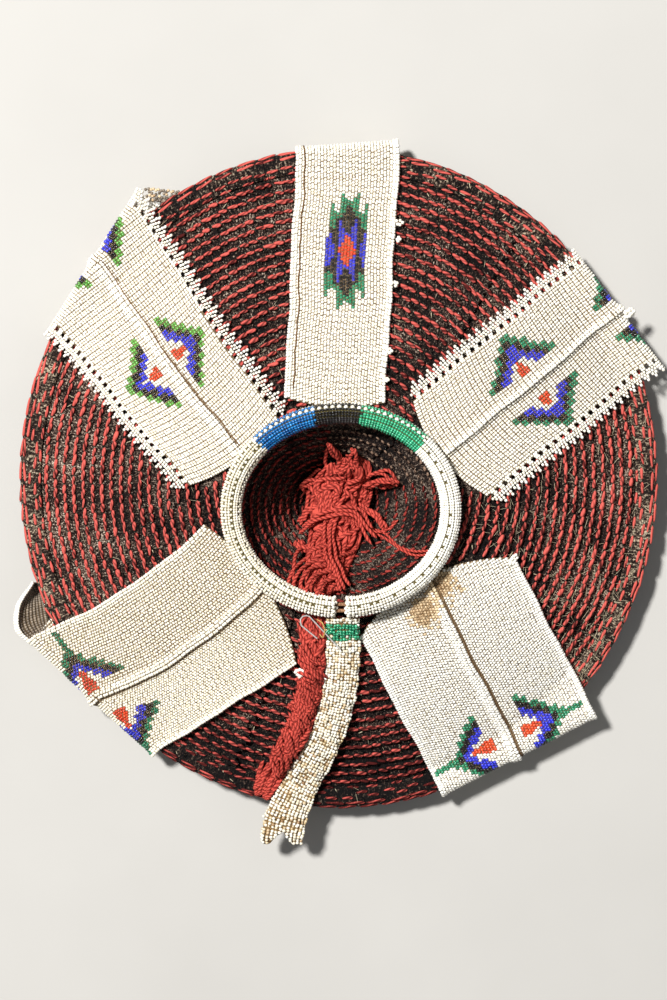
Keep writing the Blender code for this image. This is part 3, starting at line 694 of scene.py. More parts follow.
def frames_from(along, aside):
    """Axes for strewn copies: Z along, X aside and Y up, squared off."""
    along = unit(along)
    up = unit(np.cross(along, aside))
    return np.stack((np.cross(up, along), up, along), axis=1)


def surface_frames(place, first, second, step):
    """Axes on a surface, along its first measure and across its second."""
    along = place(first + step, second) - place(first - step, second)
    aside = place(first, second + step) - place(first, second - step)
    return frames_from(along, aside)


def wobble(frames, amount):
    """Turns each frame a little, at random."""
    lean = chance.normal(0, amount, (len(frames), 3))
    along = frames[:, 2] + lean[:, :1] * frames[:, 0] + lean[:, 1:2] * frames[:, 1]
    aside = frames[:, 0] + lean[:, 2:] * frames[:, 1]
    return frames_from(along, aside)


def tumbled_beads(name, places, jitter, radius, tone):
    """Ivory beads that lie every way."""
    places = places + chance.normal(0, jitter, places.shape)
    lean = chance.normal(0, 1, (2, *places.shape))
    frames = frames_from(unit(lean[0]), unit(lean[1]))
    sizes = np.full(places.shape, radius) * chance.normal(1, 0.06, (len(places), 1))
    tones = chance.normal(*tone, len(places))
    strew(name, BEAD, places, frames, sizes, tones, "glass_beads", BEADS[:1])


def distances(points):
    """How far along a path each of its points lies."""
    return np.concatenate(([0], np.cumsum(np.linalg.norm(np.diff(points, axis=0), axis=1))))


def even_angles(oval, spacing, start):
    """Angles round an oval, evenly spaced along its outline."""
    fine = np.linspace(0, 2 * np.pi, 721)
    x, y = on_oval(oval, fine)
    run = np.concatenate(([0], np.cumsum(np.hypot(np.diff(x), np.diff(y)))))
    count = max(3, round(run[-1] / spacing))
    return np.interp((np.arange(count) + start) % count / count * run[-1], run, fine)


def rows_down(angle):
    """How many rows of stitches lie between the rim and the opening, at an angle."""
    rim, opening = on_oval(EDGE, angle), on_oval(LIP, angle)
    return np.hypot(rim[0] - opening[0], rim[1] - opening[1]) / ROW_SPACING


Ring = namedtuple("Ring", "oval height share", defaults=(-1.0,))  # share: of the way up a grooved flank


def centre_of(oval):
    """The oval shrunk to its middle."""
    return oval._replace(half_width=0.0, half_length=0.0)


def groove(rows):
    """How far the skin is drawn in, this many rows of stitches on from an edge."""
    return ROW_GROOVE * ((1 - np.cos(2 * np.pi * (rows - 0.5))) / 2) ** GROOVE_POWER


def fibre_wall(name, node, rings, spokes, rough):
    """A closed wall through level rings, its skin roughened inwards. Rings with a share are grooved between
    the rows of stitches."""
    outlines, heights, shares = (np.array(column) for column in zip(*rings))

    def place(along, across):
        row = np.rint(along * (len(rings) - 1)).astype(int)
        angle = across * 2 * np.pi
        x, y = on_oval(Oval(*outlines[row].T), angle)
        dents = rough * (np.sin(angle * 61 + row * 2.3) * np.sin(angle * 23 + row) - 1) / 2
        drawn_in = np.where(shares[row] < 0, 0.0, groove(shares[row] * rows_down(angle)))
        return np.stack((x, y, heights[row] + dents - drawn_in), axis=1)

    bm = bmesh.new()
    bend_grid(bm, len(rings) - 1, spokes, place)
    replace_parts(piece_from(bm, name, "stitched_fibre", FIBRE), node)


def stitched_wall():
    """The wall in one sheet: up the bowl, over the lip, down the flank, and back underneath."""
    rings = [Ring(centre_of(FLOOR), FLOOR_TOP)]
    for share in np.linspace(1, 0, BOWL_ROWS * 4 + 1):
        rings.append(Ring(between(LIP, FLOOR, share), bowl_height(share) - groove(share * BOWL_ROWS)))
    for share in np.linspace(1, 0, FLANK_RINGS + 1)[1:]:
        rings.append(Ring(between(EDGE, LIP, share), flank_height(share), share))
    for share in FLANK_SHARES:
        rings.append(Ring(between(EDGE, LIP, share), flank_height(share) - WALL * (1 + 0.4 * share)))
    for share in BOWL_SHARES:
        rings.append(Ring(between(LIP, FLOOR, share * 0.95), bowl_height(share) - WALL))
    rings.append(Ring(centre_of(FLOOR), FLOOR_TOP - WALL))
    fibre_wall("stitched_wall", "flared_wall", rings, 150, 0.0004)


def crown_underside():
    """The closed top of the hat, in grooved rows like the flank."""
    centre = centre_of(CROWN_BASE)
    rings = [Ring(centre, 0.0)]
    for row in range(1, MIDDLE_ROWS + 1):
        rings.append(Ring(between(centre, CROWN_BASE, row / MIDDLE_ROWS), CROWN_GROOVE * (row % 2)))
    for row in range(1, CROWN_ROWS + 1):
        share = row / CROWN_ROWS
        rings.append(Ring(between(CROWN_BASE, EDGE, share), crown_height(share) + CROWN_GROOVE * (row % 2)))
    for share in (1.0, 0.6, 0.3, 0.0):
        rings.append(Ring(between(CROWN_BASE, EDGE, share), crown_height(share) + WALL))
    rings.append(Ring(centre, WALL))
    fibre_wall("crown_underside", "crown_disc", rings, 120, 0.0)


def roll_section(angle):
    """Outline of the rim's roll: round outside, straight against the walls."""
    across, up = np.cos(angle), np.sin(angle)
    flat = np.where(across < 0, 0.35, 1.0)
    across = np.sign(across) * np.abs(across) ** flat
    up = np.sign(up) * np.abs(up) ** 0.75
    return across / 2, up / 2


def roll_place(angle, turn):
    """Point of the roll's skin, at an angle round the hat and a turn round the roll."""
    across, up = roll_section(turn)
    depth = EDGE_TOP - EDGE_BOTTOM
    swell = 1 - 0.03 * (1 + np.sin(angle * 90 + turn * 2))
    inset = BINDING_WIDTH / 2 - across * BINDING_WIDTH * np.where(across > 0, swell, 1.0)
    half = RIM_WIDTH / 2 - inset
    x = half * np.cos(angle)
    y = half * RIM_LENGTH / RIM_WIDTH * np.sin(angle)
    return np.stack((x, y, RIM_LEVEL + up * depth * swell), axis=-1)


RimRow = namedtuple("RimRow", "turn spacing long")
# Rows of stitches on the roll, from its outer side in. long: half the length of a stitch.
RIM_ROWS = (
    RimRow(0.45, 0.0142, 0.0070),
    RimRow(1.02, 0.0150, 0.0072),
    RimRow(1.62, 0.0098, 0.0045),
    RimRow(2.30, 0.0160, 0.0045),
)


def rim_roll():
    """The wrapped roll, with two rows of long red stitches on its outer edge and sparse ones inside them."""
    bm = bmesh.new()
    bend_grid(bm, 360, 16, lambda along, across: roll_place(along * 2 * np.pi, across * 2 * np.pi))
    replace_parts(piece_from(bm, "rim_roll", "wrapped_fibre", WRAP), "rim_binding")
    angles, turns, longs = [], [], []
    for row in RIM_ROWS:
        found = even_angles(rim_oval(0.003), row.spacing, row.turn)
        angles.append(found + chance.normal(0, 0.004, len(found)))
        turns.append(row.turn + chance.normal(0, 0.05, len(found)))
        longs.append(np.full(len(found), row.long))
    angles, turns, longs = (np.concatenate(group) for group in (angles, turns, longs))
    places = roll_place(angles, turns)
    frames = surface_frames(roll_place, angles, turns, 0.01) * np.array((1, -1, -1))[:, None]
    frames = wobble(frames, 0.05)
    # Painted shade darkens the stitches on the near edge, and those on the sides are lighter
    tones = chance.normal(0.1, 0.12, len(angles)) + side_lightening_and_painted_shade(places[:, 0], places[:, 1])
    sizes = sizes_of(0.0013, 0.0010, longs)
    strew("rim_stitches", STITCH, places, frames, sizes, tones, "stitched_fibre", [RED_STITCH])


def on_wall(x, y, heading, lift):
    """Places on the fibre wall, and frames that run along the headings there."""
    step = 0.001
    z = wall_height(x, y)
    rise_x = (wall_height(x + step, y) - z) / step
    rise_y = (wall_height(x, y + step) - z) / step
    up = unit(np.stack((-rise_x, -rise_y, np.ones_like(z)), axis=1))
    run = np.stack((np.cos(heading), np.sin(heading)), axis=1)
    along = unit(np.concatenate((run, (rise_x * run[:, 0] + rise_y * run[:, 1])[:, None]), axis=1))
    places = np.stack((x, y, z), axis=1) + up * np.asarray(lift)[..., None]
    return places, frames_from(along, np.cross(up, along))


def side_lightening_and_painted_shade(x, y):
    """How much lighter the hat's sides are made, and how much darker its near edge is as painted shade."""
    return SIDE_LIGHTENING * np.interp(np.abs(x), SIDE_LIGHTENING_SPAN, (0, 1)) - NEAR_EDGE_PAINTED_SHADE * np.interp(y, NEAR_EDGE_SHADE_SPAN, (1, 0))


def under_panels(x, y, margin):
    """Which points of the plan lie well under a panel."""
    return np.any([fold.covers(x, y, margin) for fold in FOLDS.values()], axis=0)


def wall_stitches():
    """Slanting red stitches in rows, left out where a panel hides them."""
    rows = [(EDGE, LIP, k + 0.5, False) for k in range(math.ceil(rows_down(np.pi / 2)))]
    rows += [(LIP, FLOOR, (k + 0.5) / BOWL_ROWS, True) for k in range(BOWL_ROWS)]
    found = []
    for row, (first, last, depth, inside) in enumerate(rows):
        finer = BOWL_FINER if inside else 1.0
        oval = between(first, last, depth if inside else min(1.0, depth / FLANK_ROWS))
        angles = even_angles(oval, STITCH_STEP * finer, row * 0.37)
        angles = angles + chance.normal(0, 0.0005 / oval.half_width, len(angles))
        if not inside:
            angles = angles[depth / rows_down(angles) < 0.99]
        (x, y), (next_x, next_y) = (
            on_oval(between(first, last, depth if inside else depth / rows_down(angle)), angle)
            for angle in (angles, angles + 0.01)
        )
        heading = np.arctan2(next_y - y, next_x - x) - STITCH_SLANT * (2 if inside else 1)
        brown = (np.sin(angles) > 0.3) & (np.cos(angles) > -0.1) & inside
        found.append((x, y, heading, brown, np.full(len(x), finer)))
    found = [np.concatenate(column) for column in zip(*found)]
    shown = ~under_panels(*found[:2], UNDER_STITCHES)
    x, y, heading, brown, finer = (column[shown] for column in found)
    count = len(x)
    x = x + chance.normal(0, 0.00022, count)
    y = y + chance.normal(0, 0.00022, count)
    heading = heading + chance.normal(0, 0.05, count)
    places, frames = on_wall(x, y, heading, chance.uniform(0.0001, 0.0006, count))
    long = STITCH_LONG / 2 * finer * chance.normal(1.0, 0.10, count) * np.where(brown, 0.6, 1.0)
    wide = STITCH_WIDE / 2 * (0.3 + 0.7 * finer) * chance.normal(1.0, 0.12, count)
    sizes = sizes_of(wide, wide * 0.85, long)
    # Painted shade darkens the stitches on the near edge, and those on the sides are lighter
    tones = chance.normal(0.04, 0.15, count) + side_lightening_and_painted_shade(x, y)
    finishes = [RED_STITCH, BROWN_STITCH, BOWL_SHADE_STITCH]
    # Kind 2 is the bowl's stitches, darkened as painted shade
    kinds = np.where(brown, 1, np.where(finer < 1, 2, 0))
    strew("wall_stitches", STITCH, places, frames, sizes, tones, "stitched_fibre", finishes, kinds)


Ends = namedtuple("Ends", "name count long wide made slot")
LOOSE_ENDS = (
    Ends("fibre_ends", 5600, 0.0022, 0.00034, WRAP, "stitched_fibre"),
    Ends("straw_bits", 150, 0.0020, 0.00042, STRAW, "wrapped_fibre"),
    Ends("pale_hairs", 900, 0.0046, 0.00016, STRAW, "wrapped_fibre"),
)
HAIRS_TOGETHER = 220  # pale hairs that lie close together, low on the right


def fibre_ends():
    """Loose fibre ends, straw bits and pale hairs caught between the rows."""
    for ends in LOOSE_ENDS:
        count = ends.count
        angle = chance.uniform(0, 2 * np.pi, count)
        share = chance.uniform(0, 1, count) ** (3.0 if ends.name == "straw_bits" else 1.0)
        if ends.name == "pale_hairs":
            together = np.arange(count) < HAIRS_TOGETHER
            angle = np.where(together, chance.normal(math.radians(-31), 0.16, count), angle)
            share = np.where(together, share * 0.42, share)
            right = (np.arange(count) % 3 > 0) & ~together
            angle = np.where(right, chance.uniform(math.radians(-50), math.radians(25), count), angle)
        x, y = on_oval(between(rim_oval(0.005), LIP, share), angle)
        heading = angle + np.pi / 2 * chance.integers(0, 2, count) + chance.normal(0, 0.45, count)
        places, frames = on_wall(x, y, heading, chance.uniform(-0.0002, 0.0005, count))
        keep = ~under_panels(x, y, UNDER_ENDS)
        sizes = sizes_of(ends.wide, ends.wide, ends.long * chance.uniform(0.5, 1.4, count))
        frames = wobble(frames[keep], 0.12)
        tones = chance.normal(0, 0.1, keep.sum())
        strew(ends.name, SLIVER, places[keep], frames, sizes[keep], tones, ends.slot, [ends.made])


HALF_HEIGHTS = np.array((14, 12, 9, 7, 4, 2))  # beads from the middle of a chevron half, by column step
Half = namedtuple("Half", "inner apex middle tail blob_before blob_after blob_high")
# Places are metres on the flat cloth: aside of the middle line, and along from the inner end.
CHEVRONS = {
    "panel_upper_left": (
        Half(-0.0107, -0.0345, 0.0803, -0.0345, 1, 3, 2.0),
        Half(0.0071, 0.0317, 0.0780, 0.0317, 1, 3, 2.0),
        Half(-0.0121, -0.0359, 0.180, -0.0359, 1, 3, 2.0),
        Half(0.0091, 0.0337, 0.180, 0.0337, 1, 3, 2.0),
    ),
    "panel_upper_right": (
        Half(-0.0120, -0.0386, 0.0785, -0.0386, 1, 3, 2.0),
        Half(0.0085, 0.0354, 0.0785, 0.0354, 1, 3, 2.0),
        Half(-0.0120, -0.0386, 0.170, -0.0386, 1, 3, 2.0),
        Half(0.0085, 0.0354, 0.170, 0.0354, 1, 3, 2.0),
    ),
    "panel_lower_left": (
        Half(-0.0105, -0.0385, 0.1418, -0.0555, 2, 4.5, 2.1),
        Half(0.0208, 0.0530, 0.1350, 0.0580, 2, 4.5, 2.1),
    ),
    "panel_lower_right": (
        Half(-0.0160, -0.0437, 0.1290, -0.0580, 2, 4.5, 2.1),
        Half(0.0126, 0.0424, 0.1306, 0.0560, 2, 4.5, 2.1),
    ),
}
Step = namedtuple("Step", "red blue black green")
# The top panel's figure: beads from its middle row to the end of each colour, by column from its middle.
TOP_MIDDLE = (0.1033, -0.0023)
TOP_STEPS = (
    Step(5, 6, 15, 17),
    Step(3, 8, 13, 18),
    Step(1, 10.5, 11.5, 19.5),
    Step(0, 0, 11, 13),
    Step(0, 2.5, 7.5, 13),
    Step(0, 6, 7.5, 16.0),
)


def chevron_kinds(half, along, aside, green):
    """Colours of the beads in one half of a chevron, or -1 where it has none."""
    way = math.copysign(1, half.apex - half.inner)
    past = (aside - half.inner) * way
    step = np.floor(past / abs(half.apex - half.inner) * len(HALF_HEIGHTS)).astype(int)
    high = np.abs(along - half.middle) / BEAD_STEP
    within = (step >= 0) & (step < len(HALF_HEIGHTS))
    depth = np.where(within, HALF_HEIGHTS[np.clip(step, 0, len(HALF_HEIGHTS) - 1)] - high, -1)
    kinds = np.full(np.shape(along), -1)
    for edge, kind in ((0, green), (2.5, BLACK), (5.2, COBALT), (8.8, IVORY)):
        kinds[depth > edge] = kind
    beads = past / BEAD_WIDE
    reach = (beads + half.blob_before) / (half.blob_before + half.blob_after)
    swell = np.where(reach < 0.5, 1.0, 1.35 - 0.9 * reach)
    kinds[(reach > 0) & (reach < 1.15) & (high < half.blob_high * swell)] = RED
    tail = (past > abs(half.apex - half.inner)) & (past < abs(half.tail - half.inner)) & (high < 1.0)
    kinds[tail] = green
    return kinds


def panel_kinds(name, along, aside):
    """Colour of each bead of a panel, from the charts."""
    kinds = np.full(np.shape(along), IVORY)
    if name == "panel_top":
        column = np.floor(np.abs(aside - TOP_MIDDLE[1]) / BEAD_WIDE).astype(int)
        high = np.abs(along - TOP_MIDDLE[0]) / BEAD_STEP
        steps = np.array(TOP_STEPS)[np.clip(column, 0, len(TOP_STEPS) - 1)]
        for colour, kind in (("green", GREEN), ("black", BLACK), ("blue", COBALT), ("red", RED)):
            reach = steps[..., Step._fields.index(colour)]
            kinds[(column < len(TOP_STEPS)) & (high < reach)] = kind
    green = LIME if name == "panel_upper_left" else GREEN
    for half in CHEVRONS.get(name, ()):
        found = chevron_kinds(half, along, aside, green)
        kinds = np.where(found >= 0, found, kinds)
    if name == "panel_lower_right":
        for spot, reach in (((0.010, 0.006), 0.011), ((0.020, -0.012), 0.012)):
            soiled = np.hypot(along - spot[0], aside - spot[1]) / reach
            soiled = soiled + chance.normal(0, 0.22, np.shape(along))
            kinds = np.where((kinds == IVORY) & (soiled < 0.9), STAINED, kinds)
    return kinds


def paired(count):
    """Distances along a thread, with the beads in twos between its crossings."""
    order = np.arange(count)
    return (order + 0.5) * BEAD_STEP + np.where(order % 2, -0.00010, 0.00010)


# Beads of one picot: share of the pitch, distance in from the panel's edge, and size
PICOT_BEADS = (
    *((k / 3, PICOT_BAND - 0.0007, 1.02) for k in range(3)),
    *(((k + 0.5) / 3, PICOT_BAND - 0.0026, 1.02) for k in range(3)),
    *((share, PICOT_BAND + out, 1.0) for share in (0.62, 0.90) for out in (0.0012, 0.0029)),
    (0.30, 0.0005, 1.10),
    (0.70, 0.0005, 1.10),
    (0.50, -0.0016, 1.24),
)


def lace_beads(fold):
    """Places on the flat cloth and sizes of the beads in a lacy panel's two edges."""
    share, inset, size = (np.tile(column, PICOTS_CUT) for column in zip(*PICOT_BEADS))
    along = (np.repeat(np.arange(PICOTS_CUT), len(PICOT_BEADS)) + share) * PICOT_PITCH
    aside = fold.width(along) / 2 - inset
    return np.tile(along, 2), np.concatenate((-aside, aside)), np.tile(size, 2)


STAGGERED = ("panel_top", "panel_lower_right", "panel_lower_left")
# Size of a panel's beads against the space that each has in the web
FILLED = {
    "panel_top": 0.99,
    "panel_upper_left": 0.98,
    "panel_upper_right": 0.95,
    "panel_lower_left": 0.90,
    "panel_lower_right": 0.99,
}
# How much lighter as painted light, or darker as painted shade, a panel's beads are than the others'
PANEL_PAINTED_LIGHT = {"panel_lower_left": -0.20, "panel_lower_right": 0.15}


def panel_lattice(fold):
    """Every bead of a panel on its flat cloth: distance along, aside, the straight cloth's row, and size."""
    columns = round(fold.width_out / BEAD_WIDE)
    rows = math.ceil((fold.length + fold.width_out * abs(fold.skew)) / BEAD_STEP)
    row, column = np.meshgrid(paired(rows), (np.arange(columns) + 0.5) / columns - 0.5, indexing="ij")
    if fold.panel.name in STAGGERED:
        row = row + np.arange(columns) % 2 * BEAD_STEP / 2
    aside = column * fold.width(row)
    turned = aside * fold.skew
    along = np.where(row < fold.fold_at + turned, row / (1 + turned / fold.fold_at), row - turned)
    size = np.where(np.abs(column) > 0.5 - 1.1 / columns, 1.24, 1.0)
    if fold.panel.name in STAGGERED:
        size = np.where(np.abs(column) > 0.5 - 2.1 / columns, 1.18, 1.0) + 0.12 * (size > 1)
    past = (aside - fold.seam) * fold.panel.steep
    if fold.panel.ridge:
        size = np.where((past > -0.0042) & (past < 0.0010), 1.24, size)
    keep = in_range(along, (0, fold.length))
    if fold.panel.lacy:
        laced = np.abs(aside) > fold.width(along) / 2 - PICOT_BAND - PICOT_HOLE
        keep &= ~(laced & (along < PICOTS_CUT * PICOT_PITCH))
    flat = [group[keep] for group in (along, aside, row, size)]
    if fold.panel.lacy:
        along, aside, size = lace_beads(fold)
        flat = [np.concatenate(pair) for pair in zip(flat, (along, aside, along, size))]
    return flat


def beadwork_panel(fold):
    """A panel: its brown thread web, the beads strung in it, and smaller plain beads where it lies hidden."""
    name = fold.panel.name
    inset = PICOT_BAND + PICOT_HOLE - 0.0004 if fold.panel.lacy else 0.0008

    def place(along, across):
        distance = along * fold.length
        return fold.place(distance, (across - 0.5) * (fold.width(distance) - 2 * inset))

    bm = bmesh.new()
    bend_grid(bm, 64, 24, place)
    web = thread_web(bm, name + "_web", WEB_THREAD_AND_SHADE)
    along, aside, row, size = panel_lattice(fold)
    kinds = panel_kinds(name, row, aside)
    places = fold.place(along, aside)
    frames = wobble(surface_frames(fold.place, along, aside, FRAME_STEP), 0.05)
    count = len(along)
    places = places + chance.normal(0, BEAD_JITTER, (count, 3))
    places = places + frames[:, 1] * ((size - 1) * 0.002)[:, None]
    taper = fold.width(along) / fold.width_out
    large = size > 1.05
    filled = FILLED[name] / 2 * np.where(kinds == IVORY, 1.0, 1.05)
    radius = BEAD_WIDE * filled * size * chance.normal(1, 0.03, count)
    long = BEAD_STEP * filled * np.where(large, 1.08, 1.0) * chance.normal(1, 0.03, count)
    sizes = sizes_of(radius * taper, radius, long)
    # Painted shade on the lower left panel, painted light on the lower right
    tones = chance.normal(0.05, 0.12, count) + np.where(large, 0.12, 0.0) + PANEL_PAINTED_LIGHT.get(name, 0.0)
    shown = along < fold.under + 0.004
    for part, shape, some in (("beads", BEAD, shown), ("return_beads", SMALL_BEAD, ~shown)):
        chosen = (column[some] for column in (places, frames, sizes, tones))
        strew(f"{name}_{part}", shape, *chosen, "glass_beads", BEADS, kinds[some])
    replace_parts(web, name)


def band_frame(angle):
    """Middle of the band, its run and its outward direction, at an angle round the opening."""
    x, y = on_oval(LIP, angle)
    middle = np.stack((x, y, band_height(angle)), axis=-1)
    step = 0.002
    ahead = np.stack((*on_oval(LIP, angle + step), band_height(angle + step)), axis=-1)
    run = unit(ahead - middle)
    out = unit(np.cross(run, np.broadcast_to((0.0, 0.0, 1.0), run.shape)))
    return middle, run, out


def band_place(angle, turn, radius):
    """Point round the band: turn 0 is its outer side, a quarter turn its top."""
    middle, run, out = band_frame(angle)
    up = np.cross(out, run)
    return middle + radius * (np.cos(turn)[..., None] * out + np.sin(turn)[..., None] * up)


HALF_BREAK = math.asin(BAND_BREAK / OPENING_WIDTH)
BAND_TURNS = 21  # beads round the tube
BAND_RINGS = 216  # and along it
COLOURED = (43, 137)  # degrees round the opening
BAND_COLOURS = ((43, 80, MINT), (80, 103.5, BLACK), (103.5, 137, SKY))
COLOURED_TURNS = (math.radians(2), math.radians(205))  # round the tube
WHITE_TURNS = (math.radians(33), math.radians(54))  # a row of large white beads among the coloured ones
LOW_TURNS = (math.radians(228), math.radians(318))  # where the tube rests, and has no beads


def band_angle(share):
    """Angle round the opening at a share of the band's length."""
    return -np.pi / 2 + HALF_BREAK + (2 * np.pi - 2 * HALF_BREAK) * share


def beaded_band():
    """The padded core, and the beads round it: white with gaps in a chequer, and coloured at the far side."""
    radius = BAND_THICK / 2 - BEAD_SINK

    def core_place(along, across):
        ends = np.minimum(1, np.minimum(along, 1 - along) * 120)
        return band_place(band_angle(along), across * 2 * np.pi, (radius - 0.0003) * ends[:, None])

    bm = bmesh.new()
    bend_grid(bm, 240, 16, core_place)
    core = piece_from(bm, "band_core", "glass_beads", CORE)
    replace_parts(core, "beaded_band")

    order, line = (grid.ravel() for grid in np.indices((BAND_RINGS, BAND_TURNS)))
    angle = band_angle((order + 0.5) / BAND_RINGS)
    degrees = np.degrees(angle) % 360
    turn = (line + 0.5) / BAND_TURNS * 2 * np.pi + np.where(line % 2, -0.02, 0.02)
    coloured = in_range(degrees, COLOURED)
    white = coloured & in_range(turn, WHITE_TURNS)
    dots = np.isin(line, (2, 5, 8)) & (order % 2 == line // 3 % 2) & (chance.uniform(0, 1, len(line)) < 0.8)
    from_right = np.abs((degrees + 180) % 360 - 180)
    filled = (from_right < 68) & (np.isin(line, (2, 8)) | (order % 4 == 1))
    bare = in_range(turn, LOW_TURNS) | (dots & ~coloured & ~filled) | (white & (order % 2 == 1))
    angle, degrees, turn, line, white = (column[~bare] for column in (angle, degrees, turn, line, white))
    count = len(angle)
    edge = chance.normal(0, 0.6, count)
    kinds = np.full(count, IVORY)
    for first, last, kind in BAND_COLOURS:
        kinds[in_range(turn, COLOURED_TURNS) & in_range(degrees + edge, (first, last))] = kind
    kinds[white] = IVORY
    places = band_place(angle, turn, radius + chance.normal(0, BEAD_JITTER, (count, 1)))
    along = band_place(angle, turn + 0.02, radius) - band_place(angle, turn - 0.02, radius)
    aside = band_place(angle + 0.004, turn, radius) - band_place(angle - 0.004, turn, radius)
    frames = frames_from(along, -aside)
    swell = np.where(white, 1.45, 1.0) * chance.normal(1, 0.06, count)
    swell = swell * np.where(np.isin(line, (10, 11)), 1.16, 1.0)
    around = np.pi * radius / BAND_TURNS
    sizes = sizes_of(0.00102 * swell, 0.00104 * swell, around * np.where(white, 1.25, 0.97))
    # Painted light and shade: the beads are lighter towards the band's right side and darker towards its left
    tones = chance.normal(0.02, 0.15, count) + 0.25 * np.cos(angle)
    strew("band_beads", BEAD, places, wobble(frames, 0.06), sizes, tones, "glass_beads", BEADS, kinds)


def band_ends():
    """Clusters of beads at the two ends of the band, over the brown cords."""
    places = []
    for way in (-1, 1):
        for spread, count in ((1.0, 14), (0.62, 9), (0.25, 3)):
            angle = -np.pi / 2 + way * HALF_BREAK * (0.62 + 0.45 * spread) * np.ones(count)
            turn = np.linspace(0, 2 * np.pi, count, endpoint=False) + way
            places.append(band_place(angle, turn, (BAND_THICK / 2 - 0.0011) * spread))
    tumbled_beads("band_end_beads", np.concatenate(places), 0.0005, 0.00115, (0.05, 0.15))


def tab_line(share):
    """The tab's middle line on the plan, at shares of its length from the band."""
    start = OPENING_Y - OPENING_LENGTH / 2 - BAND_THICK / 2 - GAP
    swing = (1 - np.cos(np.pi * np.maximum(share, 0) ** TAB_BEND_POWER)) / 2
    return np.stack((OPENING_X + TAB_X - TAB_BEND * swing, start - TAB_LENGTH * share), axis=-1)


def tab_side(share):
    """The way across the tab."""
    step = 0.001
    run = unit(tab_line(share + step) - tab_line(np.maximum(0.0, share - step)))
    return np.stack((-run[..., 1], run[..., 0]), axis=-1)


def tab_width(share):
    return TAB_WIDTH * np.interp(share, TAB_WIDTH_SHARES, TAB_WIDTHS)


def tab_height(share, flat):
    """Height of the tab's middle layer, from the band down onto the flank and over the rim."""
    middle = tab_line(share)
    high = wall_height(middle[..., 0], middle[..., 1])
    here = wall_height(flat[..., 0], flat[..., 1])
    step = 0.002
    ahead = tab_line(share + step)
    slope = (wall_height(ahead[..., 0], ahead[..., 1]) - high) / (step * TAB_LENGTH)
    lying = np.maximum(here, (high + here) / 2) + 3 * GAP + TAB_THICK / 2 * np.hypot(1, slope)
    root = band_height(-np.pi / 2) - TAB_ROOT_DROP
    ease = np.maximum(0.0, 1 - share / TAB_EASE) ** 2
    droop = TAB_DROOP * np.maximum(0.0, (share - TAB_DROOP_FROM) / (1 - TAB_DROOP_FROM)) ** 2
    return np.maximum(lying, root) * ease + lying * (1 - ease) - droop


def tab_place(share, turn, inset):
    """Point of the folded tab's skin. Turn 0 is its +X edge, a quarter turn its top."""
    across = np.sign(np.cos(turn)) * np.abs(np.cos(turn)) ** 0.8
    up = np.sign(np.sin(turn)) * np.abs(np.sin(turn)) ** 0.6
    column = across / 2 * (1 - 2 * inset / tab_width(share))
    flat = tab_line(share) + tab_side(share) * (column * tab_width(share))[..., None]
    crown = TAB_CROWN * (1 - (2 * column) ** 2)
    return upright(flat, tab_height(share, flat) + crown + up * (TAB_THICK / 2 - inset))


def tab_end(turn):
    """Share of the length where the tab ends, drawn back at the notch between its two points."""
    column = np.abs(np.cos(turn)) / 2
    return 1 - TAB_NOTCH / TAB_LENGTH * np.maximum(0.0, 1 - column / TAB_NOTCH_HALF)


MINT_SHARES = (0.030, 0.090)  # of the tab's length, where its beads are mint


def beaded_tab():
    """The folded strip of beadwork: its golden thread, and the beads strung in it, puckered."""

    def place(along, across):
        turn = (across * 0.98 - 0.24) * 2 * np.pi
        return tab_place(0.002 + along * (tab_end(turn) - 0.004), turn, 0.0012)

    bm = bmesh.new()
    bend_grid(bm, 90, 24, place)
    web = thread_web(bm, "tab_web", GOLD_THREAD_AND_SHADE)
    fine = np.linspace(0, 2 * np.pi, 400)
    run = distances(tab_place(np.full(400, 0.6), fine, BEAD_SINK))
    columns = round(run[-1] / BEAD_WIDE)
    turns = np.interp((np.arange(columns) + 0.5) / columns * run[-1], run, fine)
    shares = paired(int(TAB_LENGTH / BEAD_STEP)) / TAB_LENGTH
    share, turn = (grid.ravel() for grid in np.meshgrid(shares, turns, indexing="ij"))
    keep = share < tab_end(turn)
    share, turn = share[keep], turn[keep]
    along = tab_place(share + 0.003, turn, BEAD_SINK) - tab_place(share - 0.003, turn, BEAD_SINK)
    aside = tab_place(share, turn + 0.05, BEAD_SINK) - tab_place(share, turn - 0.05, BEAD_SINK)
    frames = frames_from(along, -aside)
    count = len(share)
    draw = chance.uniform(0, 1, count)
    kinds = np.where(draw < 0.30, CREAM, IVORY)
    kinds[draw < 0.05] = STAINED
    kinds[in_range(share, MINT_SHARES) & (chance.uniform(0, 1, count) < 0.9)] = MINT
    radius = 0.00114 * chance.normal(1, 0.09, count)
    sizes = sizes_of(radius, radius, BEAD_STEP * 0.53 * chance.normal(1, 0.06, count))
    pucker = 0.0003 + 0.0009 * np.sin(share * 61 + 2.0 * turn) * np.sin(share * 23 - 3.0 * turn)
    pucker = pucker + chance.normal(0, 0.00015, count)
    places = tab_place(share, turn, BEAD_SINK) + frames[:, 1] * pucker[:, None]
    places = places + chance.normal(0, 0.00022, (count, 3))
    tones = chance.normal(-0.10, 0.18, count)
    beads = strew("tab_beads", BEAD, places, wobble(frames, 0.2), sizes, tones, "glass_beads", BEADS, kinds)
    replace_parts(web, "beaded_tab")


def rope_line(share):
    """The rope's middle line, beside the tab."""
    aside = tab_width(share) / 2 + ROPE_WIDTH / 2 + 2 * GAP
    return tab_line(share) - tab_side(share) * np.asarray(aside)[..., None]


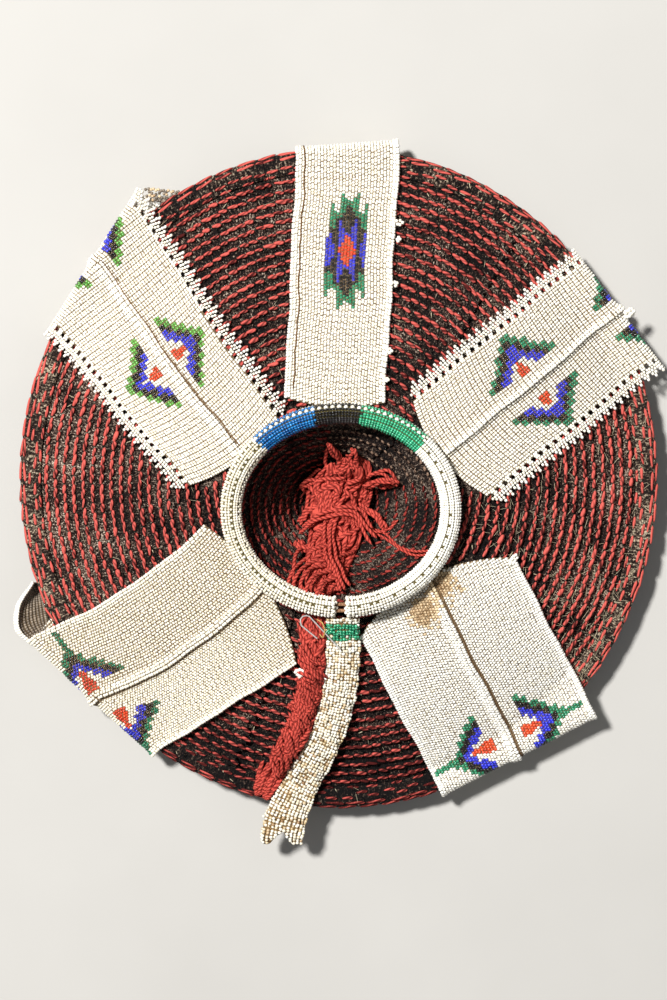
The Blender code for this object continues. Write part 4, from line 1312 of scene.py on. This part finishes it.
def yarn_path():
    """Places and sizes along the yarn, from the far side of the heap to the rope's free end."""
    half_x, half_y = OPENING_WIDTH / 2, OPENING_LENGTH / 2
    rows = [
        (
            OPENING_X + row.aside * half_x,
            OPENING_Y - row.along * half_y,
            HEAP_WIDTH * row.width,
            HEAP_HEIGHT * row.height,
        )
        for row in HEAP_ROWS
    ]
    neck_x = rope_line(ROPE_START)[0]
    for step in (1, 0, -1):
        y = OPENING_Y - half_y + step * BAND_THICK / 2
        rows.append((neck_x + (step + 1) * NECK_SWING, y, NECK_WIDTH, NECK_HEIGHT))
    for k in range(1, ROPE_SPANS + 1):
        share = ROPE_START + (ROPE_END - ROPE_START) * k / ROPE_SPANS
        swell = 1.0 if k < ROPE_SPANS else ROPE_TIP
        rows.append((*rope_line(share), ROPE_WIDTH * swell, ROPE_HEIGHT * swell))
    return np.array(rows)


YARN_PATH = yarn_path()
HEAP_END = len(HEAP_ROWS)


def along_yarn(row):
    """Place, size and sideways direction at a row number of the yarn's path, read between its rows."""
    numbers = np.arange(len(YARN_PATH))
    x, y, width, height = (np.interp(row, numbers, column) for column in YARN_PATH.T)
    step = 0.05
    ahead = np.stack([np.interp(row + step, numbers, column) for column in YARN_PATH.T[:2]], axis=-1)
    back = np.stack([np.interp(row - step, numbers, column) for column in YARN_PATH.T[:2]], axis=-1)
    run = unit(ahead - back)
    return np.stack((x, y), axis=-1), width, height, np.stack((-run[:, 1], run[:, 0]), axis=-1)


def add_strand(bm, points, thick, sides=6, turns_per_metre=300.0):
    """A two-ply strand through the points, pointed at both ends."""
    run = unit(np.gradient(points, axis=0))
    lengths = distances(points)
    side = unit(np.cross(run, (0.02, 0.01, 1.0)))
    up = np.cross(side, run)
    rows = len(points) - 1

    def place(along, across):
        row = np.rint(along * rows).astype(int)
        turn = across * 2 * np.pi
        twist = lengths[row] * turns_per_metre * 2 * np.pi
        plies = 0.86 - 0.14 * np.cos(2 * turn + twist)
        ends = np.minimum(1, np.minimum(row, rows - row) / 1.5)
        size = (thick / 2 * plies * ends)[:, None]
        return points[row] + size * (np.cos(turn)[:, None] * side[row] + np.sin(turn)[:, None] * up[row])

    first = len(bm.faces)
    bend_grid(bm, rows, sides, place)
    bm.faces.ensure_lookup_table()
    surface = surface_map(bm)
    for face in bm.faces[first:]:
        for loop in face.loops:
            loop[surface].uv.x *= lengths[-1] / PLY_MAP


def smooth_path(points, count):
    """A smooth curve through a few points, evenly spaced."""
    points = np.array(points, float)
    run = distances(points)
    slope = np.gradient(points, run, axis=0)
    at = np.linspace(0, run[-1], count)
    k = np.clip(np.searchsorted(run, at, side="right") - 1, 0, len(run) - 2)
    span = run[k + 1] - run[k]
    t = ((at - run[k]) / span)[:, None]
    span = span[:, None]
    return (
        (2 * t**3 - 3 * t**2 + 1) * points[k]
        + (t**3 - 2 * t**2 + t) * span * slope[k]
        + (-2 * t**3 + 3 * t**2) * points[k + 1]
        + (t**3 - t**2) * span * slope[k + 1]
    )


def crinkled(points, amount):
    """The same path with small smooth kinks in it."""
    run = np.linspace(0, len(points) / 10, len(points))[:, None]
    kinks = np.zeros_like(points)
    for wave in (1.3, 2.7, 4.9):
        kinks += np.sin(run * wave + chance.uniform(0, 6.3, 3)) * chance.uniform(0.3, 1.0, 3) / wave**0.5
    return points + kinks * amount


def over_heap(row, aside, sunk):
    """Points on top of the heap, at rows of the yarn's path and shares of its width to the side, sunk by some
    strands' thickness."""
    middle, width, height, side = along_yarn(row)
    flat = middle + side * (aside * width)[:, None]
    top = wall_height(*middle.T) + height * np.sqrt(np.maximum(0.0, 1 - (2 * aside) ** 2))
    return upright(flat, np.maximum(top - YARN_THICK * sunk, wall_height(*flat.T) + YARN_THICK * 0.6))


def heap_strand(first, last, start_at, end_at, sway, depth):
    """A strand over the heap from one row to another, swinging from side to side."""
    row = np.linspace(first, last, int(16 * (last - first)))
    share = (row - first) / (last - first)
    aside = start_at + (end_at - start_at) * share + sway[0] * np.sin(sway[1] * share + sway[2])
    return over_heap(row, np.clip(aside, -0.46, 0.36), 0.3 + depth)


def yarn_core():
    """Packed yarn inside the heap, the neck and the rope, which shows between the strands."""
    last = len(YARN_PATH) - 1.2

    def place(along, across):
        middle, width, height, side = along_yarn(0.3 + along * (last - 0.3))
        turn = across * 2 * np.pi
        ends = np.minimum(1, np.minimum(along, 1 - along) * 30)
        ends = np.where(ends < 1e-6, 0.0, ends)
        flat = middle + side * (np.cos(turn) * width * 0.40 * ends)[:, None]
        knots = 1 + 0.10 * np.sin(along * 130 + 2 * turn)
        return upright(flat, wall_height(*middle.T) + height * (0.48 + 0.34 * np.sin(turn) * ends * knots))

    bm = bmesh.new()
    bend_grid(bm, 90, 14, place)
    piece_from(bm, "yarn_core", "red_yarn", RED_YARN)


def yarn_heap():
    """Strands that run along the heap into the neck, and loops that swing out to its sides."""
    bm = bmesh.new()
    for k in range(24):
        first = chance.uniform(0.0, 2.4)
        last = chance.uniform(5.0, 9.6) if k % 3 else chance.uniform(8.8, 10.4)
        start_at = chance.uniform(-0.46, 0.46)
        end_at = start_at * 0.6 + chance.normal(0, 0.14)
        sway = (chance.uniform(0.04, 0.16), chance.uniform(4, 11), chance.uniform(0, 6))
        points = heap_strand(first, last, start_at, end_at, sway, 0.25 * (k % 4))
        add_strand(bm, crinkled(points, 0.0011), YARN_THICK * chance.uniform(0.85, 1.1))
    bend = np.linspace(0, 1, 26)
    for k in range(28):
        row = chance.uniform(0.8, 6.5)
        reach = chance.uniform(0.25, 0.38) if k % 2 else chance.uniform(-0.46, -0.25)
        aside = reach * np.sin(np.pi * bend) * chance.uniform(0.7, 1.0)
        points = over_heap(row + 1.5 * (bend - 0.5) * chance.choice((-1, 1)), aside, 0.1)
        add_strand(bm, crinkled(points, 0.0016), YARN_THICK)
    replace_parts(piece_from(bm, "yarn_heap", "red_yarn", RED_YARN), "yarn_tassel")


ROPE_STRANDS = 12
ROPE_WRAPS = 0.105  # rows of the yarn's path from one strand across the rope to the next
Loops = namedtuple("Loops", "row sideways count far")


def yarn_rope():
    """Strands laid round each other beside the tab, shorter ones across them, and loops at its end, at its
    outer side and at the band."""
    bm = bmesh.new()
    first, last = HEAP_END + 0.6, len(YARN_PATH) - 1
    middle, width, height, side = along_yarn(np.linspace(first, last, 84))
    lengths = distances(middle)
    flats = [wall_height(*(middle + side * (width * share)[:, None]).T) for share in (-0.5, 0.0, 0.5)]
    base = np.max(flats, axis=0) + 0.001
    for strand in range(ROPE_STRANDS):
        turn = strand / ROPE_STRANDS * 2 * np.pi + lengths * 2 * np.pi / chance.uniform(0.05, 0.07)
        reach = (width * 1.16 - YARN_THICK) / 2 * np.cos(turn)
        rise = (height - YARN_THICK) / 2 * (1 + np.sin(turn)) + YARN_THICK / 2
        points = upright(middle + side * reach[:, None], base + rise)
        add_strand(bm, crinkled(points, 0.0012), YARN_THICK * 1.04)
    arc = np.linspace(-1, 1, 13)
    for start in np.arange(first + 0.3, last - 0.1, ROPE_WRAPS):
        slant = chance.uniform(0.35, 0.75)
        middle, width, height, side = along_yarn(start + slant * arc)
        flat = middle + side * (arc * width * chance.uniform(0.50, 0.62))[:, None]
        high = wall_height(*middle.T) + height * np.sqrt(1 - arc**2 * 0.94) + chance.uniform(0.0, 0.0022)
        points = upright(flat, np.maximum(high, wall_height(*flat.T) + 0.001))
        add_strand(bm, crinkled(points, 0.0024), YARN_THICK * chance.uniform(0.75, 1.1), 5)
    bend = np.linspace(0, 1, 26)
    arch = np.sin(np.pi * bend)
    for loops in (
        Loops(last - 0.3, 0.0, 11, 0.026),
        Loops(14.2, 1.0, 5, 0.011),
        Loops(first + 0.2, 1.0, 3, 0.008),
    ):
        middle, _, height, side = along_yarn(np.array([loops.row]))
        onward = np.array((side[0, 1], -side[0, 0]))
        outward = -side[0] if side[0, 0] > 0 else side[0]
        heading = unit(onward * (1 - loops.sideways * 0.8) + outward * loops.sideways)
        across = np.array((-heading[1], heading[0]))
        for _ in range(loops.count):
            reach = loops.far * chance.uniform(0.6, 1.0) * arch
            spread = (bend - 0.5) * chance.uniform(0.003, 0.008) + chance.normal(0, 0.0030)
            flat = middle[0] + heading * reach[:, None] + across * spread[:, None]
            rise = height * chance.uniform(0.1, 0.8) * (1 - 0.6 * arch)
            points = upright(flat, wall_height(*flat.T) + 0.002 + rise)
            add_strand(bm, crinkled(points, 0.0009), YARN_THICK * 0.95)
    piece_from(bm, "yarn_rope", "red_yarn", RED_YARN)


def yarn_locks():
    """Locks that leave the heap and bend back down, three strands in each."""
    half = np.array((OPENING_WIDTH / 2, OPENING_LENGTH / 2))
    centre = np.array((OPENING_X, OPENING_Y))
    bm = bmesh.new()
    share = np.linspace(0, 1, 34)
    for lock in LOCKS:
        start, middle, end = (
            centre + half * np.array(point) for point in (lock.start, lock.middle, lock.end)
        )
        flat = (
            start * ((1 - share) ** 2)[:, None]
            + middle * (2 * share * (1 - share))[:, None]
            + end * (share**2)[:, None]
        )
        clear = LOCK_THICK / 2 * (1.9 - 0.4 * share) + 2 * GAP
        lift = HEAP_HEIGHT * lock.lift * (1 - share**2) * 0.8
        points = upright(flat, np.maximum(wall_height(*flat.T), FLOOR_TOP) + clear + lift)
        for strand in range(3):
            turn = strand / 3 * 2 * np.pi + share * 5
            offset = np.stack((np.cos(turn), np.sin(turn) * 0.7, np.sin(turn + 1) * 0.8), axis=1)
            add_strand(bm, crinkled(points + offset * YARN_THICK * 0.5, 0.0009), YARN_THICK * 0.95)
    piece_from(bm, "yarn_locks", "red_yarn", RED_YARN)


# Paths of single strands over the bowl, in millimetres. Heights are from 10 mm under the wall's face.
STRAYS = (
    ((8, -24, 30), (17, -29, 22), (32, -34, 12), (39, -39.5, 11), (50, -43, 12), (64, -41, 18)),
    ((8, -26, 28), (17, -31, 20), (32, -36, 11), (40, -41.8, 10), (50, -45.2, 11), (63, -43.2, 16)),
    ((12, -24, 28), (22, -32, 18), (29, -32, 13), (40, -24, 11)),
    ((-9.5, 9.5, 24), (-22, -1.5, 16), (-25.5, -3.5, 14), (-20.5, -8.5, 16), (-13, -15, 22)),
    ((-11, -19, 30), (-4.4, -9, 31), (-3, 4, 26), (-8.6, 14, 18), (-8, 25, 12)),
    ((4, 2, 22), (3, 12, 16), (6, 19, 10)),
    ((-26, -30, 20), (-8, -20, 34), (10, -19, 34), (25, -36, 22)),
    ((-28, -34, 18), (-10, -23, 34), (9, -22, 34), (22, -40, 22)),
    ((-22, -27, 22), (-4, -17, 35), (12, -16, 32), (24, -31, 20)),
    ((-10, -24, 34), (-9, -40, 33), (-2, -60, 24), (1, -69, 18)),
    ((-6, -24, 34), (-6, -41, 34), (1, -60, 25), (4, -68, 18)),
    ((-2, -24, 34), (-3, -41, 33), (3, -58, 24), (7, -66, 18)),
    ((-12, -44, 26), (-30, -54, 20), (-32, -64, 16), (-20, -74, 18)),
    ((-10, -48, 28), (-26, -56, 24), (-29, -66, 20), (-16, -74, 20)),
    ((-6, -52, 28), (-21, -55, 28), (-25, -64, 24), (-12, -74, 20)),
    ((-14, -40, 26), (-28, -44, 20), (-31, -56, 18), (-24, -68, 16)),
    ((-4, -56, 26), (-16, -58, 30), (-21, -66, 26), (-10, -75, 20)),
    ((2, -58, 24), (-10, -62, 30), (-15, -70, 26), (-6, -76, 20)),
    ((18, -11, 24), (20, 2, 20), (25, 7.5, 16), (33.5, 8.8, 12), (37.3, 3, 11), (35, -2, 12), (29, 1, 16)),
    ((15, -12, 24), (17, 1, 21), (22, 5.5, 17), (31, 6.8, 14), (35, 2, 13), (32, -3, 14), (26, -1, 18)),
)


def yarn_strays():
    """Single strands that lie away from the heap over the bowl, and its small loops."""
    bm = bmesh.new()
    for spots in STRAYS:
        points = smooth_path(np.array(spots) / 1000, 40)
        points[:, 2] = wall_height(*points[:, :2].T) + np.maximum(points[:, 2] - 0.010, 0.0016)
        under_band = spots[-1][0] > 38
        add_strand(bm, crinkled(points, 0.0009), YARN_THICK * (0.68 if under_band else 0.9))
    piece_from(bm, "yarn_strays", "red_yarn", RED_YARN)


SEAM_THICK = {"panel_top": 0.0010, "panel_upper_left": 0.0009, "panel_lower_right": 0.0008}
TOP_SEAM = 0.0058  # from the top panel's left edge to the brown seam along it


def seam_threads():
    """Brown thread laid along the raised seams of the panels."""
    for name, thick in SEAM_THICK.items():
        fold = FOLDS[name]
        along = np.linspace(BAND_THICK / 2, fold.under, 120)
        sway = 0.0004 * np.sin(along * 260) + 0.0002 * np.sin(along * 611)
        aside = fold.seam + fold.panel.steep * (RIDGE_DROP * 0.9 + sway)
        if not fold.panel.ridge:
            aside = fold.width(along) / 2 - TOP_SEAM + sway
        frames = surface_frames(fold.place, along, aside, FRAME_STEP)
        bm = bmesh.new()
        add_strand(bm, fold.place(along, aside) + frames[:, 1] * 0.0011, thick)
        piece_from(bm, name + "_seam", "brown_cord", SEAM)


LOOP_PATH = (
    (-0.0148, -0.0865, 0.0720),
    (-0.0105, -0.0890, 0.0768),
    (-0.0092, -0.0945, 0.0762),
    (-0.0108, -0.0985, 0.0738),
    (-0.0128, -0.0960, 0.0742),
)


def golden_loop():
    """The loop of golden thread that holds the tab's root."""
    bm = bmesh.new()
    add_strand(bm, smooth_path(LOOP_PATH, 40), 0.0011, turns_per_metre=400.0)
    piece_from(bm, "golden_loop", "brown_cord", GOLD_THREAD)


Knot = namedtuple("Knot", "x y rise count spread")
KNOTS = (
    Knot(-0.0262, -0.1232, 0.0095, 10, 0.0028),
    Knot(0.1170, -0.0470, 0.0045, 7, 0.0022),
    Knot(0.1150, -0.0500, 0.0042, 5, 0.0018),
    Knot(0.0405, 0.1750, 0.0036, 5, 0.0018),
    Knot(0.0398, 0.1640, 0.0036, 4, 0.0016),
    Knot(0.0372, 0.1350, 0.0036, 4, 0.0016),
    Knot(0.0335, 0.0910, 0.0036, 5, 0.0018),
    Knot(0.0318, 0.0720, 0.0036, 4, 0.0016),
    Knot(0.1942, 0.1140, 0.0060, 12, 0.0026),
    Knot(0.1966, 0.1160, 0.0050, 8, 0.0020),
    Knot(0.0800, -0.1060, 0.0040, 4, 0.0016),
)


def bead_knots():
    """Small clusters of beads at the panels' corners and frayed edges."""
    places = []
    for knot in KNOTS:
        around = np.linspace(0, 2 * np.pi, knot.count, endpoint=False)
        x = knot.x + knot.spread * np.cos(around) * chance.uniform(0.5, 1.0, knot.count)
        y = knot.y + knot.spread * np.sin(around) * chance.uniform(0.5, 1.0, knot.count)
        places.append(upright(np.stack((x, y), axis=1), wall_height(x, y) + knot.rise))
    tumbled_beads("bead_knots", np.concatenate(places), 0.0003, 0.00120, (0.1, 0.12))


TURN_STEPS = 40
TURN_OUTER = ((-0.2085, -0.1105), (-0.2178, -0.1010), (-0.2180, -0.0860), (-0.2085, -0.0690))
TURN_INNER = ((-0.1985, -0.1040), (-0.1992, -0.0960), (-0.2010, -0.0850), (-0.2060, -0.0700))
TURN_EDGE_RISES = np.array((0.0022, 0.0008, -0.0008, -0.0026))  # of the four rows of white beads


def loose_turn():
    """The lower left panel's edge where its turn stands off the rim: grey-brown beads inside as painted
    shade, white beads outside.
    """
    edges = [smooth_path(path, TURN_STEPS + 1) for path in (TURN_INNER, TURN_OUTER)]

    def place(along, across):
        step = np.clip(along, 0, 1) * TURN_STEPS
        low, high = (
            np.stack([np.interp(step, np.arange(TURN_STEPS + 1), column) for column in edge.T], axis=1)
            for edge in edges
        )
        return upright(low + (high - low) * across[:, None], 0.0125 + 0.0085 * across**2)

    bm = bmesh.new()
    bend_grid(bm, 20, 6, place)
    web = thread_web(bm, "loose_turn_web", WEB_THREAD_AND_SHADE)
    columns, rows = np.linspace(0.02, 0.98, 24), np.linspace(0.08, 0.92, 8)
    along, across = (grid.ravel() for grid in np.meshgrid(columns, rows))
    edge_along, row = (grid.ravel() for grid in np.meshgrid(np.linspace(0.0, 1.0, 27), np.arange(4)))
    places = np.concatenate((place(along, across), place(edge_along, 1.0 + 0.04 * row)))
    places[len(along):, 2] += 0.0006 + TURN_EDGE_RISES[row]
    along = np.concatenate((along, edge_along))
    across = np.concatenate((across, np.ones(len(row))))
    run = place(along + 0.02, across) - place(along - 0.02, across)
    frames = frames_from(run, np.broadcast_to((1.0, 0.3, 0.2), run.shape))
    # Painted shade: the beads inside the turn are grey-brown, its edge rows ivory
    kinds = np.repeat((SHADED, IVORY), (len(along) - len(row), len(row)))
    sizes = np.full(places.shape, 0.00102) * chance.normal(1, 0.05, (len(places), 1))
    tones = np.where(kinds == SHADED, 0.0, 0.15) + chance.normal(0, 0.12, len(places))
    frames = wobble(frames, 0.1)
    beads = strew("loose_turn_beads", BEAD, places, frames, sizes, tones, "glass_beads", BEADS, kinds)


def reverse_lace():
    """The end of the upper left panel's lace, seen from behind beyond the rim."""
    along, aside = (grid.ravel() for grid in np.meshgrid(np.arange(16), np.arange(4)))
    x = -0.1300 + 0.0017 * along + 0.0004 * aside
    y = 0.1980 - 0.0024 * aside - 0.0002 * along + 0.0006 * (along % 2)
    keep = (aside != 1) | (along % 3 != 0)
    places = np.stack((x, y, 0.0135 + 0.0008 * aside), axis=1)[keep]
    places = places + chance.normal(0, 0.0002, places.shape)
    frames = frames_from(*(np.broadcast_to(way, places.shape) for way in ((1.0, 0.05, 0.0), (0.0, 1.0, 0.0))))
    sizes = np.full(places.shape, 0.00108)
    kinds = np.where(chance.uniform(0, 1, len(places)) < 0.6, SHADED, STAINED)
    tones = chance.normal(0.0, 0.15, len(places))
    strew("reverse_lace", BEAD, places, wobble(frames, 0.3), sizes, tones, "glass_beads", BEADS, kinds)


def seed_husk():
    """A cream husk caught in the bowl."""
    places, frames = on_wall(np.array([0.0493]), np.array([-0.0605]), np.array([-0.9]), 0.0012)
    sizes = np.array([(0.0014, 0.0009, 0.0026)])
    strew("seed_husk", BEAD, places, frames, sizes, np.zeros(1), "wrapped_fibre", [STRAW])


def lint():
    """Brown lint on the lower right panel, by the band."""
    fold = FOLDS["panel_lower_right"]
    along, aside = [], []
    for spot, reach, count in (((0.010, 0.004), 0.007, 260), ((0.020, -0.013), 0.007, 260)):
        along.append(spot[0] + chance.normal(0, reach * 0.7, count))
        aside.append(spot[1] + chance.normal(0, reach, count))
    along, aside = np.abs(np.concatenate(along)), np.concatenate(aside)
    frames = surface_frames(fold.place, along, aside, FRAME_STEP)
    places = fold.place(along, aside) + frames[:, 1] * chance.uniform(0.0008, 0.0016, len(along))[:, None]
    sizes = sizes_of(0.0001, 0.0001, chance.uniform(0.0012, 0.0028, len(along)))
    strew("lint", SLIVER, places, wobble(frames, 0.35), sizes, np.zeros(len(along)), "brown_cord", [LINT])


def small_nodes():
    """The band's cords and the pin keep their solids and get their finish."""
    for name, made in (("band_cord_upper", CORD), ("band_cord_lower", CORD), ("safety_pin", STEEL)):
        bpy.data.objects[name].material_slots[0].material = made


def studio():
    """The pale floor, the two lamps and the camera, which looks down as the photograph does."""
    floor = bpy.data.meshes.new("floor")
    bm = bmesh.new()
    bmesh.ops.create_grid(bm, x_segments=1, y_segments=1, size=4)
    bm.to_mesh(floor)
    bm.free()
    ground = bpy.data.objects.new("floor", floor)
    floor.materials.append(PALE_FLOOR)
    bpy.context.scene.collection.objects.link(ground)
    for name, place, size, power in (
        ("key_light", (-1.84, 1.76, 3.87), 0.5, 372),
        ("fill_light", (1.5, -0.9, 1.6), 2.0, 3),
    ):
        light = bpy.data.lights.new(name, "AREA")
        light.size = size
        light.energy = power
        lamp = bpy.data.objects.new(name, light)
        lamp.location = place
        lamp.rotation_euler = (-Vector(place)).to_track_quat("-Z", "Y").to_euler()
        bpy.context.scene.collection.objects.link(lamp)
    world = bpy.data.worlds.new("studio")
    bpy.context.scene.world = world
    world.use_nodes = True
    world.node_tree.nodes["Background"].inputs["Color"].default_value = (0.92, 0.95, 1.0, 1)
    world.node_tree.nodes["Background"].inputs["Strength"].default_value = 0.18
    lens = bpy.data.cameras.new("camera")
    lens.lens = FOCAL_LENGTH
    lens.sensor_width = SENSOR
    camera = bpy.data.objects.new("camera", lens)
    camera.location = CAMERA_PLACE
    camera.rotation_euler = (-CAMERA_TILT, 0, 0)
    bpy.context.scene.collection.objects.link(camera)
    bpy.context.scene.camera = camera
    bpy.context.scene.view_settings.view_transform = "Standard"


studio()
stitched_wall()
crown_underside()
rim_roll()
wall_stitches()
fibre_ends()
for fold in FOLDS.values():
    beadwork_panel(fold)
beaded_band()
band_ends()
beaded_tab()
yarn_core()
yarn_heap()
yarn_rope()
yarn_locks()
yarn_strays()
seam_threads()
golden_loop()
bead_knots()
loose_turn()
reverse_lace()
seed_husk()
lint()
small_nodes()
